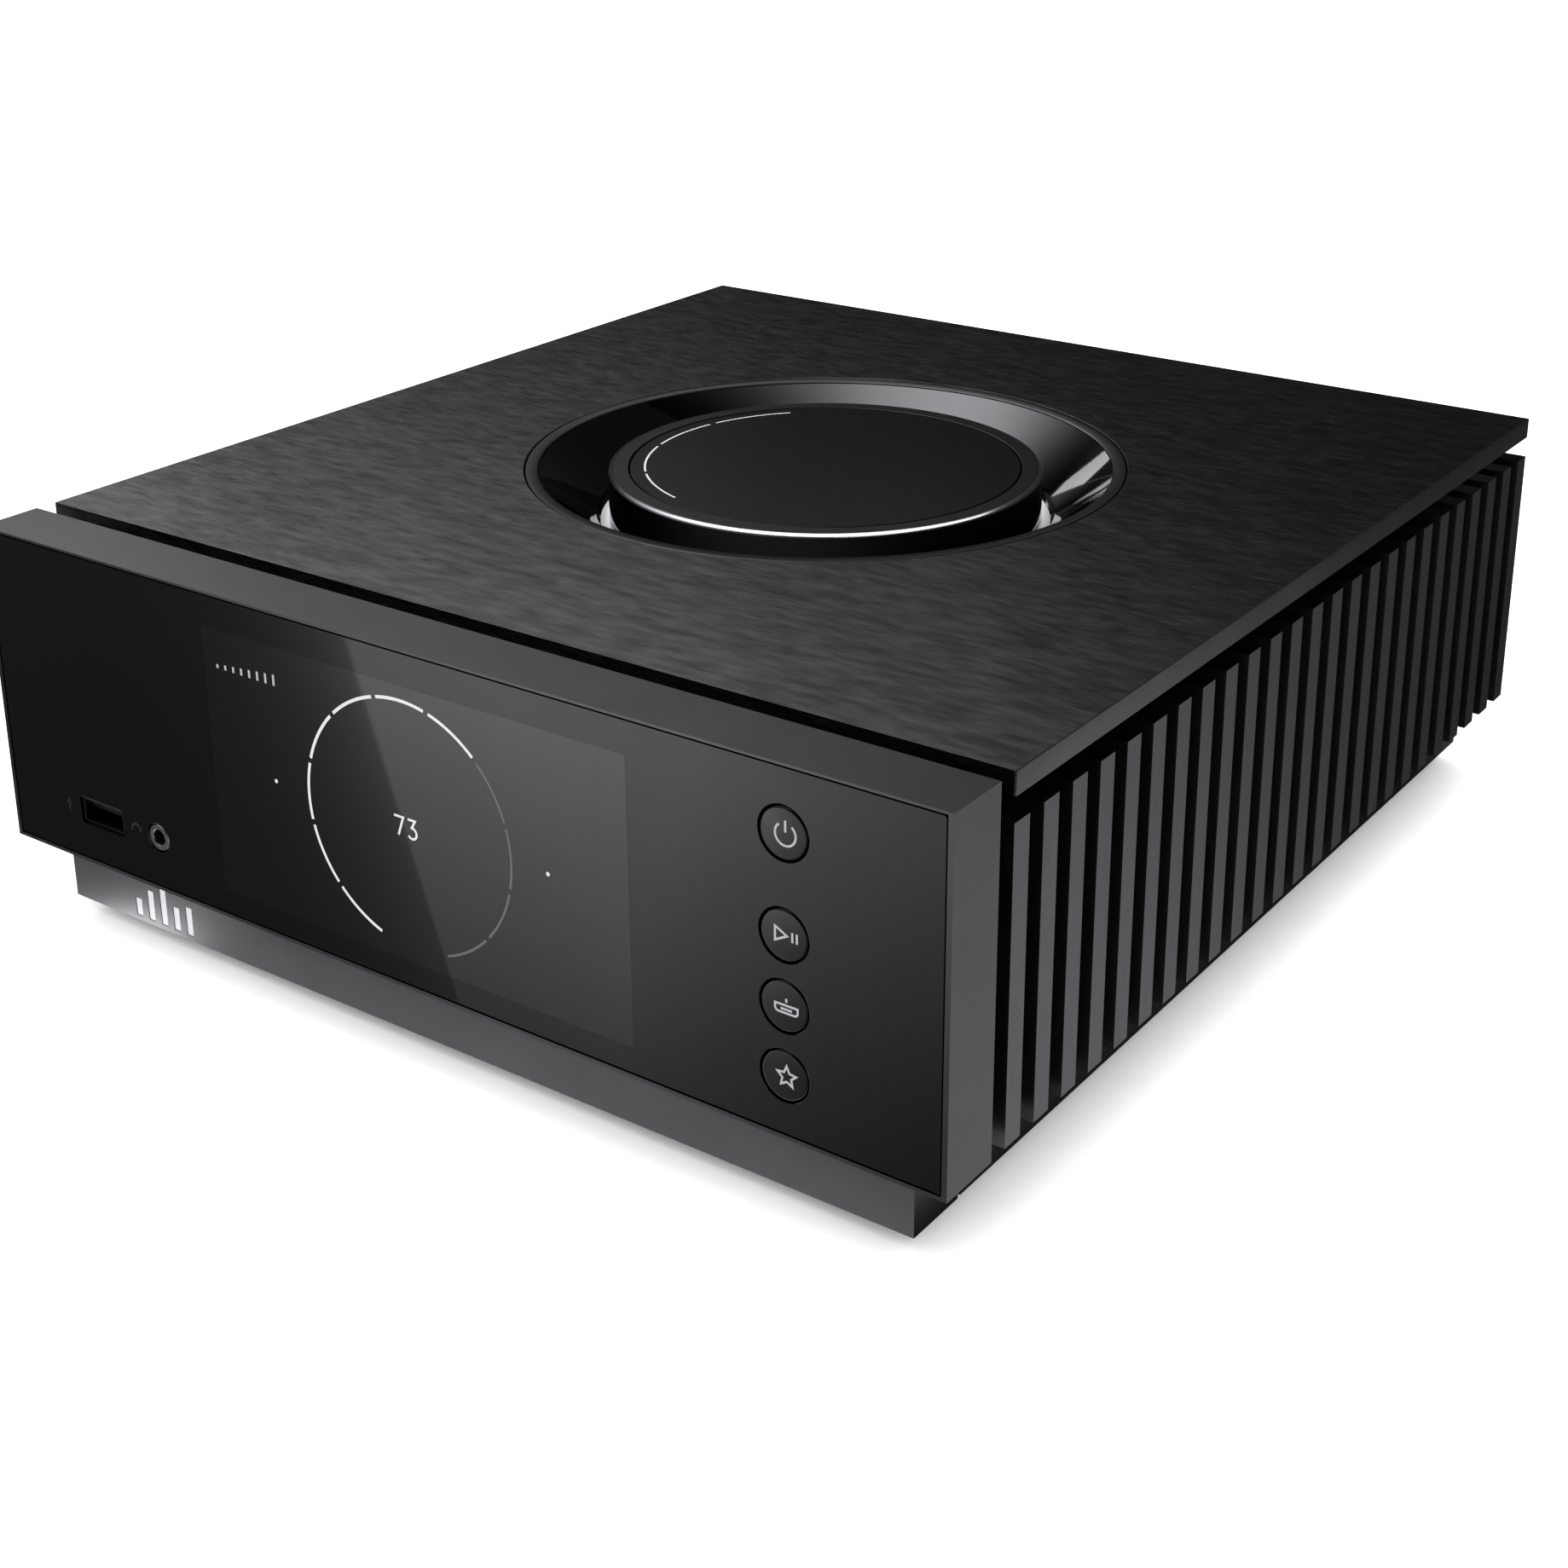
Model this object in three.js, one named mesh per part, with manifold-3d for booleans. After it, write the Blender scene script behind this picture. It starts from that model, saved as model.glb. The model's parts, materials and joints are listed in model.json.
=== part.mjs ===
// Compact desktop DAC and network player with a finned aluminium case, a glass front
// with a display and four push buttons, and a large volume ring sunk into the top plate.
// Millimetres. +Z is up, the front faces -Y, the origin is under the middle at foot level.

import * as THREE from 'three';
import Module from 'manifold-3d';
import { mergeVertices } from 'three/addons/utils/BufferGeometryUtils.js';

const wasm = await Module();
wasm.setup();

// ---- Driving dimensions --------------------------------------------------------

const WIDTH = 245;
const DEPTH = 265;
const HEIGHT = 92;
const GAP = 0.3; // play left between neighbouring pieces

const SIDE = WIDTH / 2;
const FRONT = -DEPTH / 2;
const REAR = DEPTH / 2;

// front panel
const BEZEL_DEPTH = 14.7;
const BEZEL_BOTTOM = 18.8;
const BEZEL_BACK = FRONT + BEZEL_DEPTH;
const GLASS_RIM = { side: 1.1, top: 0.5, bottom: 0.8 };
const GLASS_RECESS = 0.1;
const GLASS_THICK = 3;
const GLASS_FRONT = FRONT + GLASS_RECESS;
const GLASS_BACK = GLASS_FRONT + GLASS_THICK;
const WEB_THICK = 3;
const WEB_FRONT = GLASS_BACK + GAP;
const WEB_BACK = WEB_FRONT + WEB_THICK;
const REAR_POCKET = { half: 116, bottom: 23, top: 87.5 };
const BOARD_THICK = 1.6;
const FRONT_BOARD_BACK = BEZEL_BACK - 0.4;

// display, buttons and front sockets
const DISPLAY = { half: 56.2, bottom: 24.6, top: 85.8, thick: 4.2 };
const BUTTON = { x: 88.8, radius: 5.05, flange: 5.95, travel: 0.8, back: -124.4 };
const BUTTON_HEIGHTS = { power: 78.9, play: 59.5, input: 45.6, favourite: 31.7 };
const FRONT_USB = { x: -92.6, z: 31.3 };
const USB = { width: 13.2, height: 5.7, wall: 0.45 };
const JACK = { x: -74.4, z: 31.4, nose: 3, hole: 1.8 };

// top plate and dial
const TOP_PLATE_FRONT = -113.05;
const TOP_PLATE_THICK = 4.7;
const TOP_PLATE_BOTTOM = HEIGHT - TOP_PLATE_THICK;
const DIAL_Y = 8.9;
const WELL = { lip: 69.1, mouth: 66.1, foot: 53.9, floor: 78.2, thick: 2, bore: 20 };
const RING = { outer: 50.2, inner: 45.5, wall: 46.6, top: 91.1, bottom: 80.5 };
const DISC = { radius: 45.1, top: 91.1, thick: 2.8 };
const LIGHT_RING = { inner: 41.2, outer: 42.2, depth: 1.4 };
const PEDESTAL = { outer: 36, wall: 2.5, foot: 24 };
const BEARING = { inner: [36.3, 39.3], outer: [43.3, 46.3], bottom: 80.8, height: 5 };

// case
const HEATSINK = { front: -113.2, bottom: 19.1, top: 82.4, base: 4, fins: 25, fin: 5.2, depth: 14 };
const HEATSINK_INNER = SIDE - HEATSINK.depth - HEATSINK.base;
const PANEL_HALF = HEATSINK_INNER - GAP;
const SUBFRAME = { half: 108, front: BEZEL_BACK + GAP, back: HEATSINK.front - GAP };
const PLINTH = { half: 112.3, front: -126.5, back: -111.8, bottom: 4, top: BEZEL_BOTTOM - GAP };
const TRAY = { front: -111, back: 130.3, bottom: 4.3, top: BEZEL_BOTTOM, sheet: 2 };
const FOOT = { radius: 12, x: 90, front: -92, back: 108 };
const REAR_PANEL = { inner: 120.5, outer: 122.5, bottom: 19.1, top: 82.7 };

// boards
const MAIN_BOARD_TOP = 27;
const UPPER_BOARD_TOP = 57.6;

const ROUND_LARGE = 64; // facets on the dial's circles
const ROUND_HIDDEN = 36; // facets on the rings inside the dial
const ROUND_MEDIUM = 24;
const ROUND_SMALL = 16;

// ---- Geometry helpers ----------------------------------------------------------

// A closed geometry as a solid that can be joined and cut.
function solid(geometry) {
  const bare = geometry.clone();
  bare.deleteAttribute('normal');
  bare.deleteAttribute('uv');
  const merged = mergeVertices(bare, 1e-4);
  return new wasm.Manifold(new wasm.Mesh({
    numProp: 3,
    vertProperties: new Float32Array(merged.attributes.position.array),
    triVerts: new Uint32Array(merged.index.array),
  }));
}

function geometryOf(body) {
  const mesh = body.getMesh();
  const geometry = new THREE.BufferGeometry();
  geometry.setAttribute('position', new THREE.BufferAttribute(mesh.vertProperties, 3));
  geometry.setIndex(new THREE.BufferAttribute(mesh.triVerts, 1));
  geometry.computeVertexNormals();
  return geometry;
}

function join(...geometries) {
  return geometryOf(geometries.map(solid).reduce((whole, piece) => whole.add(piece)));
}

function cut(geometry, ...tools) {
  return geometryOf(tools.map(solid).reduce((rest, tool) => rest.subtract(tool), solid(geometry)));
}

// A box between two limits on each axis.
function box([x0, x1], [y0, y1], [z0, z1]) {
  const geometry = new THREE.BoxGeometry(x1 - x0, y1 - y0, z1 - z0);
  return geometry.translate((x0 + x1) / 2, (y0 + y1) / 2, (z0 + z1) / 2);
}

// A box of a given width and height around (x, z), between two limits on Y.
function bar(x, z, width, height, [y0, y1]) {
  return box([x - width / 2, x + width / 2], [y0, y1], [z - height / 2, z + height / 2]);
}

// A round rod along Y.
function rodY(x, z, radius, [y0, y1], sides = ROUND_SMALL) {
  const geometry = new THREE.CylinderGeometry(radius, radius, y1 - y0, sides);
  return geometry.translate(x, (y0 + y1) / 2, z);
}

// A round rod along Z.
function rodZ(x, y, radius, [z0, z1], sides = ROUND_SMALL) {
  const geometry = new THREE.CylinderGeometry(radius, radius, z1 - z0, sides);
  return geometry.rotateX(Math.PI / 2).translate(x, y, (z0 + z1) / 2);
}

// A turned piece about a vertical axis at (x, y). The profile holds [radius, height] pairs,
// runs anticlockwise, and closes on itself unless it starts and ends on the axis.
function turned(profile, x, y, segments = ROUND_LARGE) {
  const points = profile.map(([r, z]) => new THREE.Vector2(r, z));
  if (profile[0][0] > 0) points.push(points[0].clone());
  return new THREE.LatheGeometry(points, segments).rotateX(Math.PI / 2).translate(x, y, 0);
}

// A flat outline of [x, z] corners, extruded along Y.
function extrudedY(corners, [y0, y1]) {
  const shape = new THREE.Shape(corners.map(([x, z]) => new THREE.Vector2(x, z)));
  const geometry = new THREE.ExtrudeGeometry(shape, { depth: y1 - y0, bevelEnabled: false });
  return geometry.rotateX(Math.PI / 2).translate(0, y1, 0);
}

// A flat outline of [y, z] corners, extruded along X.
function extrudedX(corners, [x0, x1]) {
  const shape = new THREE.Shape(corners.map(([y, z]) => new THREE.Vector2(y, z)));
  const geometry = new THREE.ExtrudeGeometry(shape, { depth: x1 - x0, bevelEnabled: false });
  return geometry.rotateX(Math.PI / 2).rotateZ(Math.PI / 2).translate(x0, 0, 0);
}

// A flat outline of [x, y] corners, extruded along Z.
function extrudedZ(corners, [z0, z1]) {
  const shape = new THREE.Shape(corners.map(([x, y]) => new THREE.Vector2(x, y)));
  const geometry = new THREE.ExtrudeGeometry(shape, { depth: z1 - z0, bevelEnabled: false });
  return geometry.translate(0, 0, z0);
}

// ---- Materials -----------------------------------------------------------------

function material(color, roughness, metalness) {
  return new THREE.MeshStandardMaterial({ color, roughness, metalness });
}

const ANODISED = material(0x1d1d1e, 0.42, 0.9);
const SATIN_BLACK = material(0x2b2b2d, 0.45, 0.8);
const BLACK_GLASS = material(0x060607, 0.06, 0);
const POLISHED = material(0x141416, 0.08, 1);
const BLACK_PLASTIC = material(0x101011, 0.5, 0);
const RUBBER = material(0x0c0c0c, 0.85, 0);
const LIGHT = material(0xf2f5ff, 0.4, 0);
const SCREEN = material(0x15191d, 0.2, 0);
const CIRCUIT_BOARD = material(0x16402a, 0.55, 0);
const STEEL = material(0x9b9da0, 0.35, 1);
const BLACK_STEEL = material(0x151516, 0.55, 0.6);
const MAGNET = material(0x3a3a3c, 0.5, 0.7);
const WINDING_TAPE = material(0x9a6a24, 0.5, 0);
const CAPACITOR_SLEEVE = material(0x1c2f5c, 0.4, 0);
const GOLD = material(0xc9a24a, 0.3, 1);
const RIBBON = material(0xb9b9b4, 0.6, 0);
const RED_PLASTIC = material(0x8c1a16, 0.45, 0);

const group = new THREE.Group();

function part(name, geometry, look) {
  const mesh = new THREE.Mesh(geometry, look);
  mesh.name = name;
  group.add(mesh);
}

// ---- Front panel ---------------------------------------------------------------

const GLASS_OPENING = {
  x: [-SIDE + GLASS_RIM.side, SIDE - GLASS_RIM.side],
  z: [BEZEL_BOTTOM + GLASS_RIM.bottom, HEIGHT - GLASS_RIM.top],
};

function shrink([low, high], by) {
  return [low + by, high - by];
}

function frontBezel() {
  const through = [WEB_FRONT - 1, WEB_BACK + 1];
  const holes = Object.values(BUTTON_HEIGHTS).map((z) =>
    rodY(BUTTON.x, z, BUTTON.flange + 0.5, through, ROUND_MEDIUM));
  part('front_bezel', cut(
    box([-SIDE, SIDE], [FRONT, BEZEL_BACK], [BEZEL_BOTTOM, HEIGHT]),
    box(GLASS_OPENING.x, [FRONT - 1, WEB_FRONT], GLASS_OPENING.z),
    box([-REAR_POCKET.half, REAR_POCKET.half], [WEB_BACK, BEZEL_BACK + 1],
      [REAR_POCKET.bottom, REAR_POCKET.top]),
    box([-DISPLAY.half - 0.4, DISPLAY.half + 0.4], through,
      [DISPLAY.bottom - 0.4, DISPLAY.top + 0.4]),
    bar(FRONT_USB.x, FRONT_USB.z, USB.width + 1, USB.height + 1, through),
    rodY(JACK.x, JACK.z, JACK.nose + 0.4, through),
    ...holes,
  ), SATIN_BLACK);
}

function frontGlass() {
  const through = [GLASS_FRONT - 1, GLASS_BACK + 1];
  const holes = Object.values(BUTTON_HEIGHTS).map((z) =>
    rodY(BUTTON.x, z, BUTTON.radius + GAP, through, ROUND_MEDIUM));
  part('front_glass', cut(
    box(shrink(GLASS_OPENING.x, GAP), [GLASS_FRONT, GLASS_BACK], shrink(GLASS_OPENING.z, GAP)),
    bar(FRONT_USB.x, FRONT_USB.z, USB.width + 1, USB.height + 0.6, through),
    rodY(JACK.x, JACK.z, JACK.nose + GAP, through),
    ...holes,
  ), BLACK_GLASS);
}

function displayModule() {
  part('display_module', box([-DISPLAY.half, DISPLAY.half],
    [WEB_FRONT, WEB_FRONT + DISPLAY.thick], [DISPLAY.bottom, DISPLAY.top]), SCREEN);
}

function buttons() {
  const flange = [GLASS_BACK + 0.5, GLASS_BACK + 1.8];
  for (const [name, z] of Object.entries(BUTTON_HEIGHTS)) {
    part(`button_${name}`, join(
      rodY(BUTTON.x, z, BUTTON.radius, [GLASS_FRONT, flange[1]], ROUND_MEDIUM),
      rodY(BUTTON.x, z, BUTTON.flange, flange, ROUND_MEDIUM),
      rodY(BUTTON.x, z, 2, [flange[0], BUTTON.back], ROUND_SMALL),
    ), BLACK_PLASTIC);
  }
}

// The front board carries a small switch behind each button, and the socket board lies flat.
function frontBoards() {
  const back = FRONT_BOARD_BACK;
  const boardFront = back - BOARD_THICK;
  const plungerFront = BUTTON.back + BUTTON.travel + 0.2;
  const switchFront = plungerFront + 0.8;
  const switches = Object.values(BUTTON_HEIGHTS).flatMap((z) => [
    bar(BUTTON.x, z, 6, 6, [switchFront, boardFront + 0.5]),
    rodY(BUTTON.x, z, 1.7, [plungerFront, switchFront + 0.5], 12),
  ]);
  part('front_board', join(box([-60, 112], [boardFront, back], [26, 84.5]), ...switches),
    CIRCUIT_BOARD);
  const top = FRONT_USB.z - USB.height / 2 - GAP;
  part('front_socket_board', box([-104, -66], [WEB_BACK + GAP, back], [top - BOARD_THICK, top]),
    CIRCUIT_BOARD);
}

// A USB type A socket: a sheet shell, open at one end, with its contact tongue.
// `mouth` is the Y of the open end and `back` the Y of the closed one.
function usbSocket(x, z, mouth, back) {
  const inward = Math.sign(back - mouth);
  const span = (a, b) => [Math.min(a, b), Math.max(a, b)];
  const width = USB.width - 2 * USB.wall;
  const height = USB.height - 2 * USB.wall;
  const shell = cut(
    bar(x, z, USB.width, USB.height, span(mouth, back)),
    bar(x, z, width, height, span(mouth - inward, back - inward)),
  );
  const tongue = bar(x, z + height / 4, width - 1.4, 1.8, span(mouth + 1.5 * inward, back - 0.5 * inward));
  return join(shell, tongue);
}

function headphoneJack() {
  const back = FRONT_BOARD_BACK;
  const bodyFront = WEB_BACK + GAP;
  const bottom = FRONT_USB.z - USB.height / 2;
  return cut(
    join(
      rodY(JACK.x, JACK.z, JACK.nose, [FRONT + 0.2, bodyFront + 1], ROUND_MEDIUM),
      box([JACK.x - 4.5, JACK.x + 4.5], [bodyFront, back], [bottom, bottom + 8]),
    ),
    rodY(JACK.x, JACK.z, JACK.hole, [FRONT - 1, back - 1.5]),
  );
}

function frontSubframe() {
  const through = [SUBFRAME.front - 1, SUBFRAME.back + 1];
  part('front_subframe', cut(
    box([-SUBFRAME.half, SUBFRAME.half], [SUBFRAME.front, SUBFRAME.back],
      [BEZEL_BOTTOM + GAP, TOP_PLATE_BOTTOM - GAP]),
    box([-7, 15], through, [34, 46]),
    box([-100, -80], through, [40, 48]),
    box([40, 90], through, [34, 74]),
  ), BLACK_STEEL);
}

// ---- Top plate and dial --------------------------------------------------------

function topPlate() {
  part('top_plate', cut(
    box([-SIDE, SIDE], [TOP_PLATE_FRONT, REAR], [TOP_PLATE_BOTTOM, HEIGHT]),
    rodZ(0, DIAL_Y, WELL.lip + GAP, [TOP_PLATE_BOTTOM - 1, HEIGHT + 1], ROUND_LARGE),
  ), ANODISED);
  part('inner_cover', cut(
    box([-PANEL_HALF, PANEL_HALF], [-112.7, REAR_PANEL.outer],
      [REAR_PANEL.top + GAP, TOP_PLATE_BOTTOM - GAP]),
    rodZ(0, DIAL_Y, 65, [REAR_PANEL.top - 1, HEIGHT], ROUND_LARGE),
  ), BLACK_STEEL);
}

function dialWell() {
  const bottom = WELL.floor - WELL.thick;
  const flange = TOP_PLATE_BOTTOM - 0.1;
  part('dial_well', turned([
    [WELL.bore, bottom],
    [WELL.foot + 0.6, bottom],
    [WELL.mouth - 1.9, flange],
    [WELL.lip, flange],
    [WELL.lip, HEIGHT - 0.1],
    [WELL.mouth + 0.3, HEIGHT - 0.1],
    [WELL.mouth, HEIGHT - 0.4],
    [WELL.foot, WELL.floor + 2.4],
    [WELL.foot - 1.3, WELL.floor + 0.9],
    [WELL.foot - 3.4, WELL.floor],
    [WELL.bore, WELL.floor],
  ], 0, DIAL_Y), POLISHED);
}

function volumeRing() {
  part('volume_ring', turned([
    [RING.wall, RING.bottom],
    [RING.outer, RING.bottom],
    [RING.outer, RING.top - 1.8],
    [RING.outer - 0.5, RING.top - 0.6],
    [RING.outer - 1.5, RING.top],
    [RING.inner, RING.top],
    [RING.inner, RING.top - 3.1],
    [RING.wall, RING.top - 3.1],
  ], 0, DIAL_Y), POLISHED);
}

// A plain ring about the dial's axis.
function dialRing([inner, outer], [bottom, top], segments = ROUND_HIDDEN) {
  return turned([[inner, bottom], [outer, bottom], [outer, top], [inner, top]], 0, DIAL_Y, segments);
}

function dialDisc() {
  const groove = { inner: LIGHT_RING.inner - GAP, outer: LIGHT_RING.outer + GAP };
  const bottom = DISC.top - DISC.thick;
  const grooveFloor = DISC.top - LIGHT_RING.depth - GAP;
  part('dial_disc', turned([
    [0, bottom],
    [DISC.radius, bottom],
    [DISC.radius, DISC.top],
    [groove.outer, DISC.top],
    [groove.outer, grooveFloor],
    [groove.inner, grooveFloor],
    [groove.inner, DISC.top],
    [0, DISC.top],
  ], 0, DIAL_Y), BLACK_GLASS);
  part('dial_light_ring', dialRing([LIGHT_RING.inner, LIGHT_RING.outer],
    [DISC.top - LIGHT_RING.depth, DISC.top - 0.05], ROUND_LARGE), LIGHT);
}

function dialPedestal() {
  const bottom = WELL.floor + GAP;
  const top = DISC.top - DISC.thick - GAP;
  const bore = PEDESTAL.outer - PEDESTAL.wall;
  part('dial_pedestal', turned([
    [PEDESTAL.foot, bottom],
    [PEDESTAL.outer, bottom],
    [PEDESTAL.outer, top],
    [bore, top],
    [bore, bottom + 2],
    [PEDESTAL.foot, bottom + 2],
  ], 0, DIAL_Y, ROUND_HIDDEN), BLACK_STEEL);
  part('dial_board', rodZ(0, DIAL_Y, bore - GAP, [bottom + 2 + GAP, bottom + 2 + GAP + BOARD_THICK],
    ROUND_MEDIUM), CIRCUIT_BOARD);
}

// The balls stand in one cage, which turns between the two races.
function ballCage([bottom, top]) {
  const balls = 12;
  const pitch = (BEARING.inner[1] + BEARING.outer[0]) / 2;
  const middle = (bottom + top) / 2;
  const pieces = [dialRing([pitch - 0.8, pitch + 0.8], [middle - 1, middle + 1])];
  for (let i = 0; i < balls; i += 1) {
    const angle = (2 * Math.PI * i) / balls;
    const ball = new THREE.SphereGeometry(1.65, 8, 5);
    pieces.push(ball.translate(pitch * Math.cos(angle), DIAL_Y + pitch * Math.sin(angle), middle));
  }
  return join(...pieces);
}

function dialBearing() {
  const span = [BEARING.bottom, BEARING.bottom + BEARING.height];
  part('bearing_inner_race', dialRing(BEARING.inner, span), STEEL);
  part('bearing_outer_race', dialRing(BEARING.outer, span), STEEL);
  part('bearing_ball_cage', ballCage(span), STEEL);
  part('encoder_magnet_ring', dialRing(BEARING.outer, [span[1] + GAP, span[1] + 1.5]), MAGNET);
}

// ---- Case ----------------------------------------------------------------------

function heatsink(side) {
  const pitch = (REAR - HEATSINK.front - HEATSINK.fin) / (HEATSINK.fins - 1);
  const root = SIDE - HEATSINK.depth;
  const comb = [[HEATSINK_INNER, REAR], [HEATSINK_INNER, HEATSINK.front]];
  for (let i = 0; i < HEATSINK.fins; i += 1) {
    const start = HEATSINK.front + i * pitch;
    const end = start + HEATSINK.fin;
    if (i > 0) comb.push([root, start]);
    comb.push([SIDE, start], [SIDE, end]);
    if (i < HEATSINK.fins - 1) comb.push([root, end]);
  }
  const outline = comb.map(([x, y]) => [side * x, y]);
  return extrudedZ(outline, [HEATSINK.bottom, HEATSINK.top]);
}

// Level marks of the plinth's light window: five upright bars of unlike height.
const MARK = { x: -82.7, z: 5.3, pitch: 4.1, width: 1.7, heights: [4, 7, 8.6, 5.4, 6.6] };

function markBars(grow, span) {
  return MARK.heights.map((height, i) => {
    const x = MARK.x + (i - (MARK.heights.length - 1) / 2) * MARK.pitch;
    return bar(x, MARK.z + height / 2, MARK.width + 2 * grow, height + 2 * grow, span);
  });
}

function plinth() {
  const wall = 2.5;
  const pocketFront = PLINTH.front + wall;
  const pocket = box([MARK.x - 13, MARK.x + 13], [pocketFront, PLINTH.back + 1],
    [PLINTH.bottom + 0.7, PLINTH.top - 1.5]);
  part('plinth_front', cut(
    box([-PLINTH.half, PLINTH.half], [PLINTH.front, PLINTH.back], [PLINTH.bottom, PLINTH.top]),
    pocket,
    ...markBars(0.15, [PLINTH.front - 1, pocketFront + 1]),
  ), SATIN_BLACK);
  const guide = box([MARK.x - 11.5, MARK.x + 11.5], [pocketFront + GAP, pocketFront + 3.5],
    [MARK.z - 0.2, MARK.z + 10]);
  part('plinth_light_guide', join(guide, ...markBars(0, [PLINTH.front + 0.1, pocketFront + 1])), LIGHT);
}

function baseTray() {
  const { sheet } = TRAY;
  const inside = [-PLINTH.half + sheet, PLINTH.half - sheet];
  const vents = [];
  for (const y of [-58, 62]) {
    for (let i = -6; i <= 6; i += 1) {
      vents.push(box([i * 11 - 2, i * 11 + 2], [y - 22, y + 22], [TRAY.bottom - 1, TRAY.bottom + sheet + 1]));
    }
  }
  const shell = cut(
    box([-PLINTH.half, PLINTH.half], [TRAY.front, TRAY.back], [TRAY.bottom, TRAY.top]),
    box(inside, [TRAY.front + sheet, TRAY.back - sheet], [TRAY.bottom + sheet, TRAY.top - sheet]),
    box([-101, 101], [-104, 118], [TRAY.top - sheet - 1, TRAY.top + 1]),
    ...vents,
  );
  const floor = TRAY.bottom + sheet - 0.5;
  const pillars = [];
  for (const x of [-80, 80]) {
    for (const y of [8, 96]) {
      pillars.push(rodZ(x, y, 3, [floor, MAIN_BOARD_TOP - BOARD_THICK - GAP], 12));
    }
  }
  part('base_tray', join(shell, ...pillars), BLACK_STEEL);
}

function feet() {
  for (const [row, y] of [['front', FOOT.front], ['rear', FOOT.back]]) {
    for (const [hand, side] of [['left', -1], ['right', 1]]) {
      part(`foot_${row}_${hand}`, rodZ(side * FOOT.x, y, FOOT.radius, [0, TRAY.bottom - GAP],
        ROUND_MEDIUM), RUBBER);
    }
  }
}

// ---- Rear panel and sockets ----------------------------------------------------

const OUT = REAR_PANEL.outer + GAP; // where flanges sit on the outside of the panel
const IN = REAR_PANEL.inner - GAP; // where socket bodies end inside it

const INLET = { x: -78, z: 40, width: 27, height: 19, cavity: [24, 16] };
const ROCKER = { x: -78, z: 66, pivot: 119.6, radius: 9.4, width: 9.8, tilt: 9 };
const PHONO = { radius: 4.15, block: 12, z: UPPER_BOARD_TOP + GAP + 6 };
const PHONO_SOCKETS = { preamp_output: [-48, -32], coaxial_input: [14], analogue_input: [38, 54] };
const SPEAKER = { z: 42, radius: 5.6, body: 4.5 };
const SPEAKER_SOCKETS = {
  speaker_left_negative: -46, speaker_left_positive: -30,
  speaker_right_negative: -14, speaker_right_positive: 2,
};
const OPTICAL = { x: -9, z: UPPER_BOARD_TOP + GAP + 5, size: 10, cavity: 7.6 };
const ETHERNET = { x: 50, z: MAIN_BOARD_TOP + GAP + 6.75, width: 16, height: 13.5 };
const HDMI = { x: 26, z: MAIN_BOARD_TOP + GAP + 3.2, width: 15.2, height: 6.4 };
const REAR_USB = { x: 74, z: MAIN_BOARD_TOP + GAP + USB.height / 2 };
const ANTENNA = { x: 88, z: 66 };

function rearPanel() {
  const through = [REAR_PANEL.inner - 1, REAR_PANEL.outer + 1];
  const hole = (x, z, width, height) => bar(x, z, width + 0.8, height + 0.8, through);
  part('rear_panel', cut(
    box([-PANEL_HALF, PANEL_HALF], [REAR_PANEL.inner, REAR_PANEL.outer],
      [REAR_PANEL.bottom, REAR_PANEL.top]),
    hole(INLET.x, INLET.z, INLET.width, INLET.height),
    hole(ROCKER.x, ROCKER.z, 13, 22),
    hole(OPTICAL.x, OPTICAL.z, OPTICAL.size - 0.8, OPTICAL.size - 0.8),
    hole(ETHERNET.x, ETHERNET.z, ETHERNET.width, ETHERNET.height),
    hole(HDMI.x, HDMI.z, HDMI.width, HDMI.height),
    hole(REAR_USB.x, REAR_USB.z, USB.width, USB.height),
    rodY(ANTENNA.x, ANTENNA.z, 3.6, through),
    ...Object.values(PHONO_SOCKETS).flat().map((x) => rodY(x, PHONO.z, PHONO.radius + 0.4, through)),
    ...Object.values(SPEAKER_SOCKETS).map((x) => rodY(x, SPEAKER.z, SPEAKER.body + 0.4, through)),
  ), BLACK_STEEL);
}

// The outline of a mains inlet: a rectangle with its two upper corners cut off.
function inletOutline(width, height, corner) {
  const [x, z] = [width / 2, height / 2];
  const corners = [[-x, -z], [x, -z], [x, z - corner], [x - corner, z], [-x + corner, z], [-x, z - corner]];
  return corners.map(([dx, dz]) => [INLET.x + dx, INLET.z + dz]);
}

function mainsInlet() {
  const [width, height] = INLET.cavity;
  const floor = 110;
  const pinEnd = OUT - 1;
  const shell = cut(
    join(
      extrudedY(inletOutline(INLET.width, INLET.height, 3), [106, OUT + 1]),
      bar(INLET.x, INLET.z, 32, 24, [OUT, OUT + 2.5]),
    ),
    extrudedY(inletOutline(width, height, 4), [floor, OUT + 4]),
  );
  const pins = [[-7, -1.5], [0, 2.5], [7, -1.5]].map(([dx, dz]) =>
    bar(INLET.x + dx, INLET.z + dz, 2, 4, [floor - 1, pinEnd]));
  part('mains_inlet', join(shell, ...pins), BLACK_PLASTIC);
}

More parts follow.
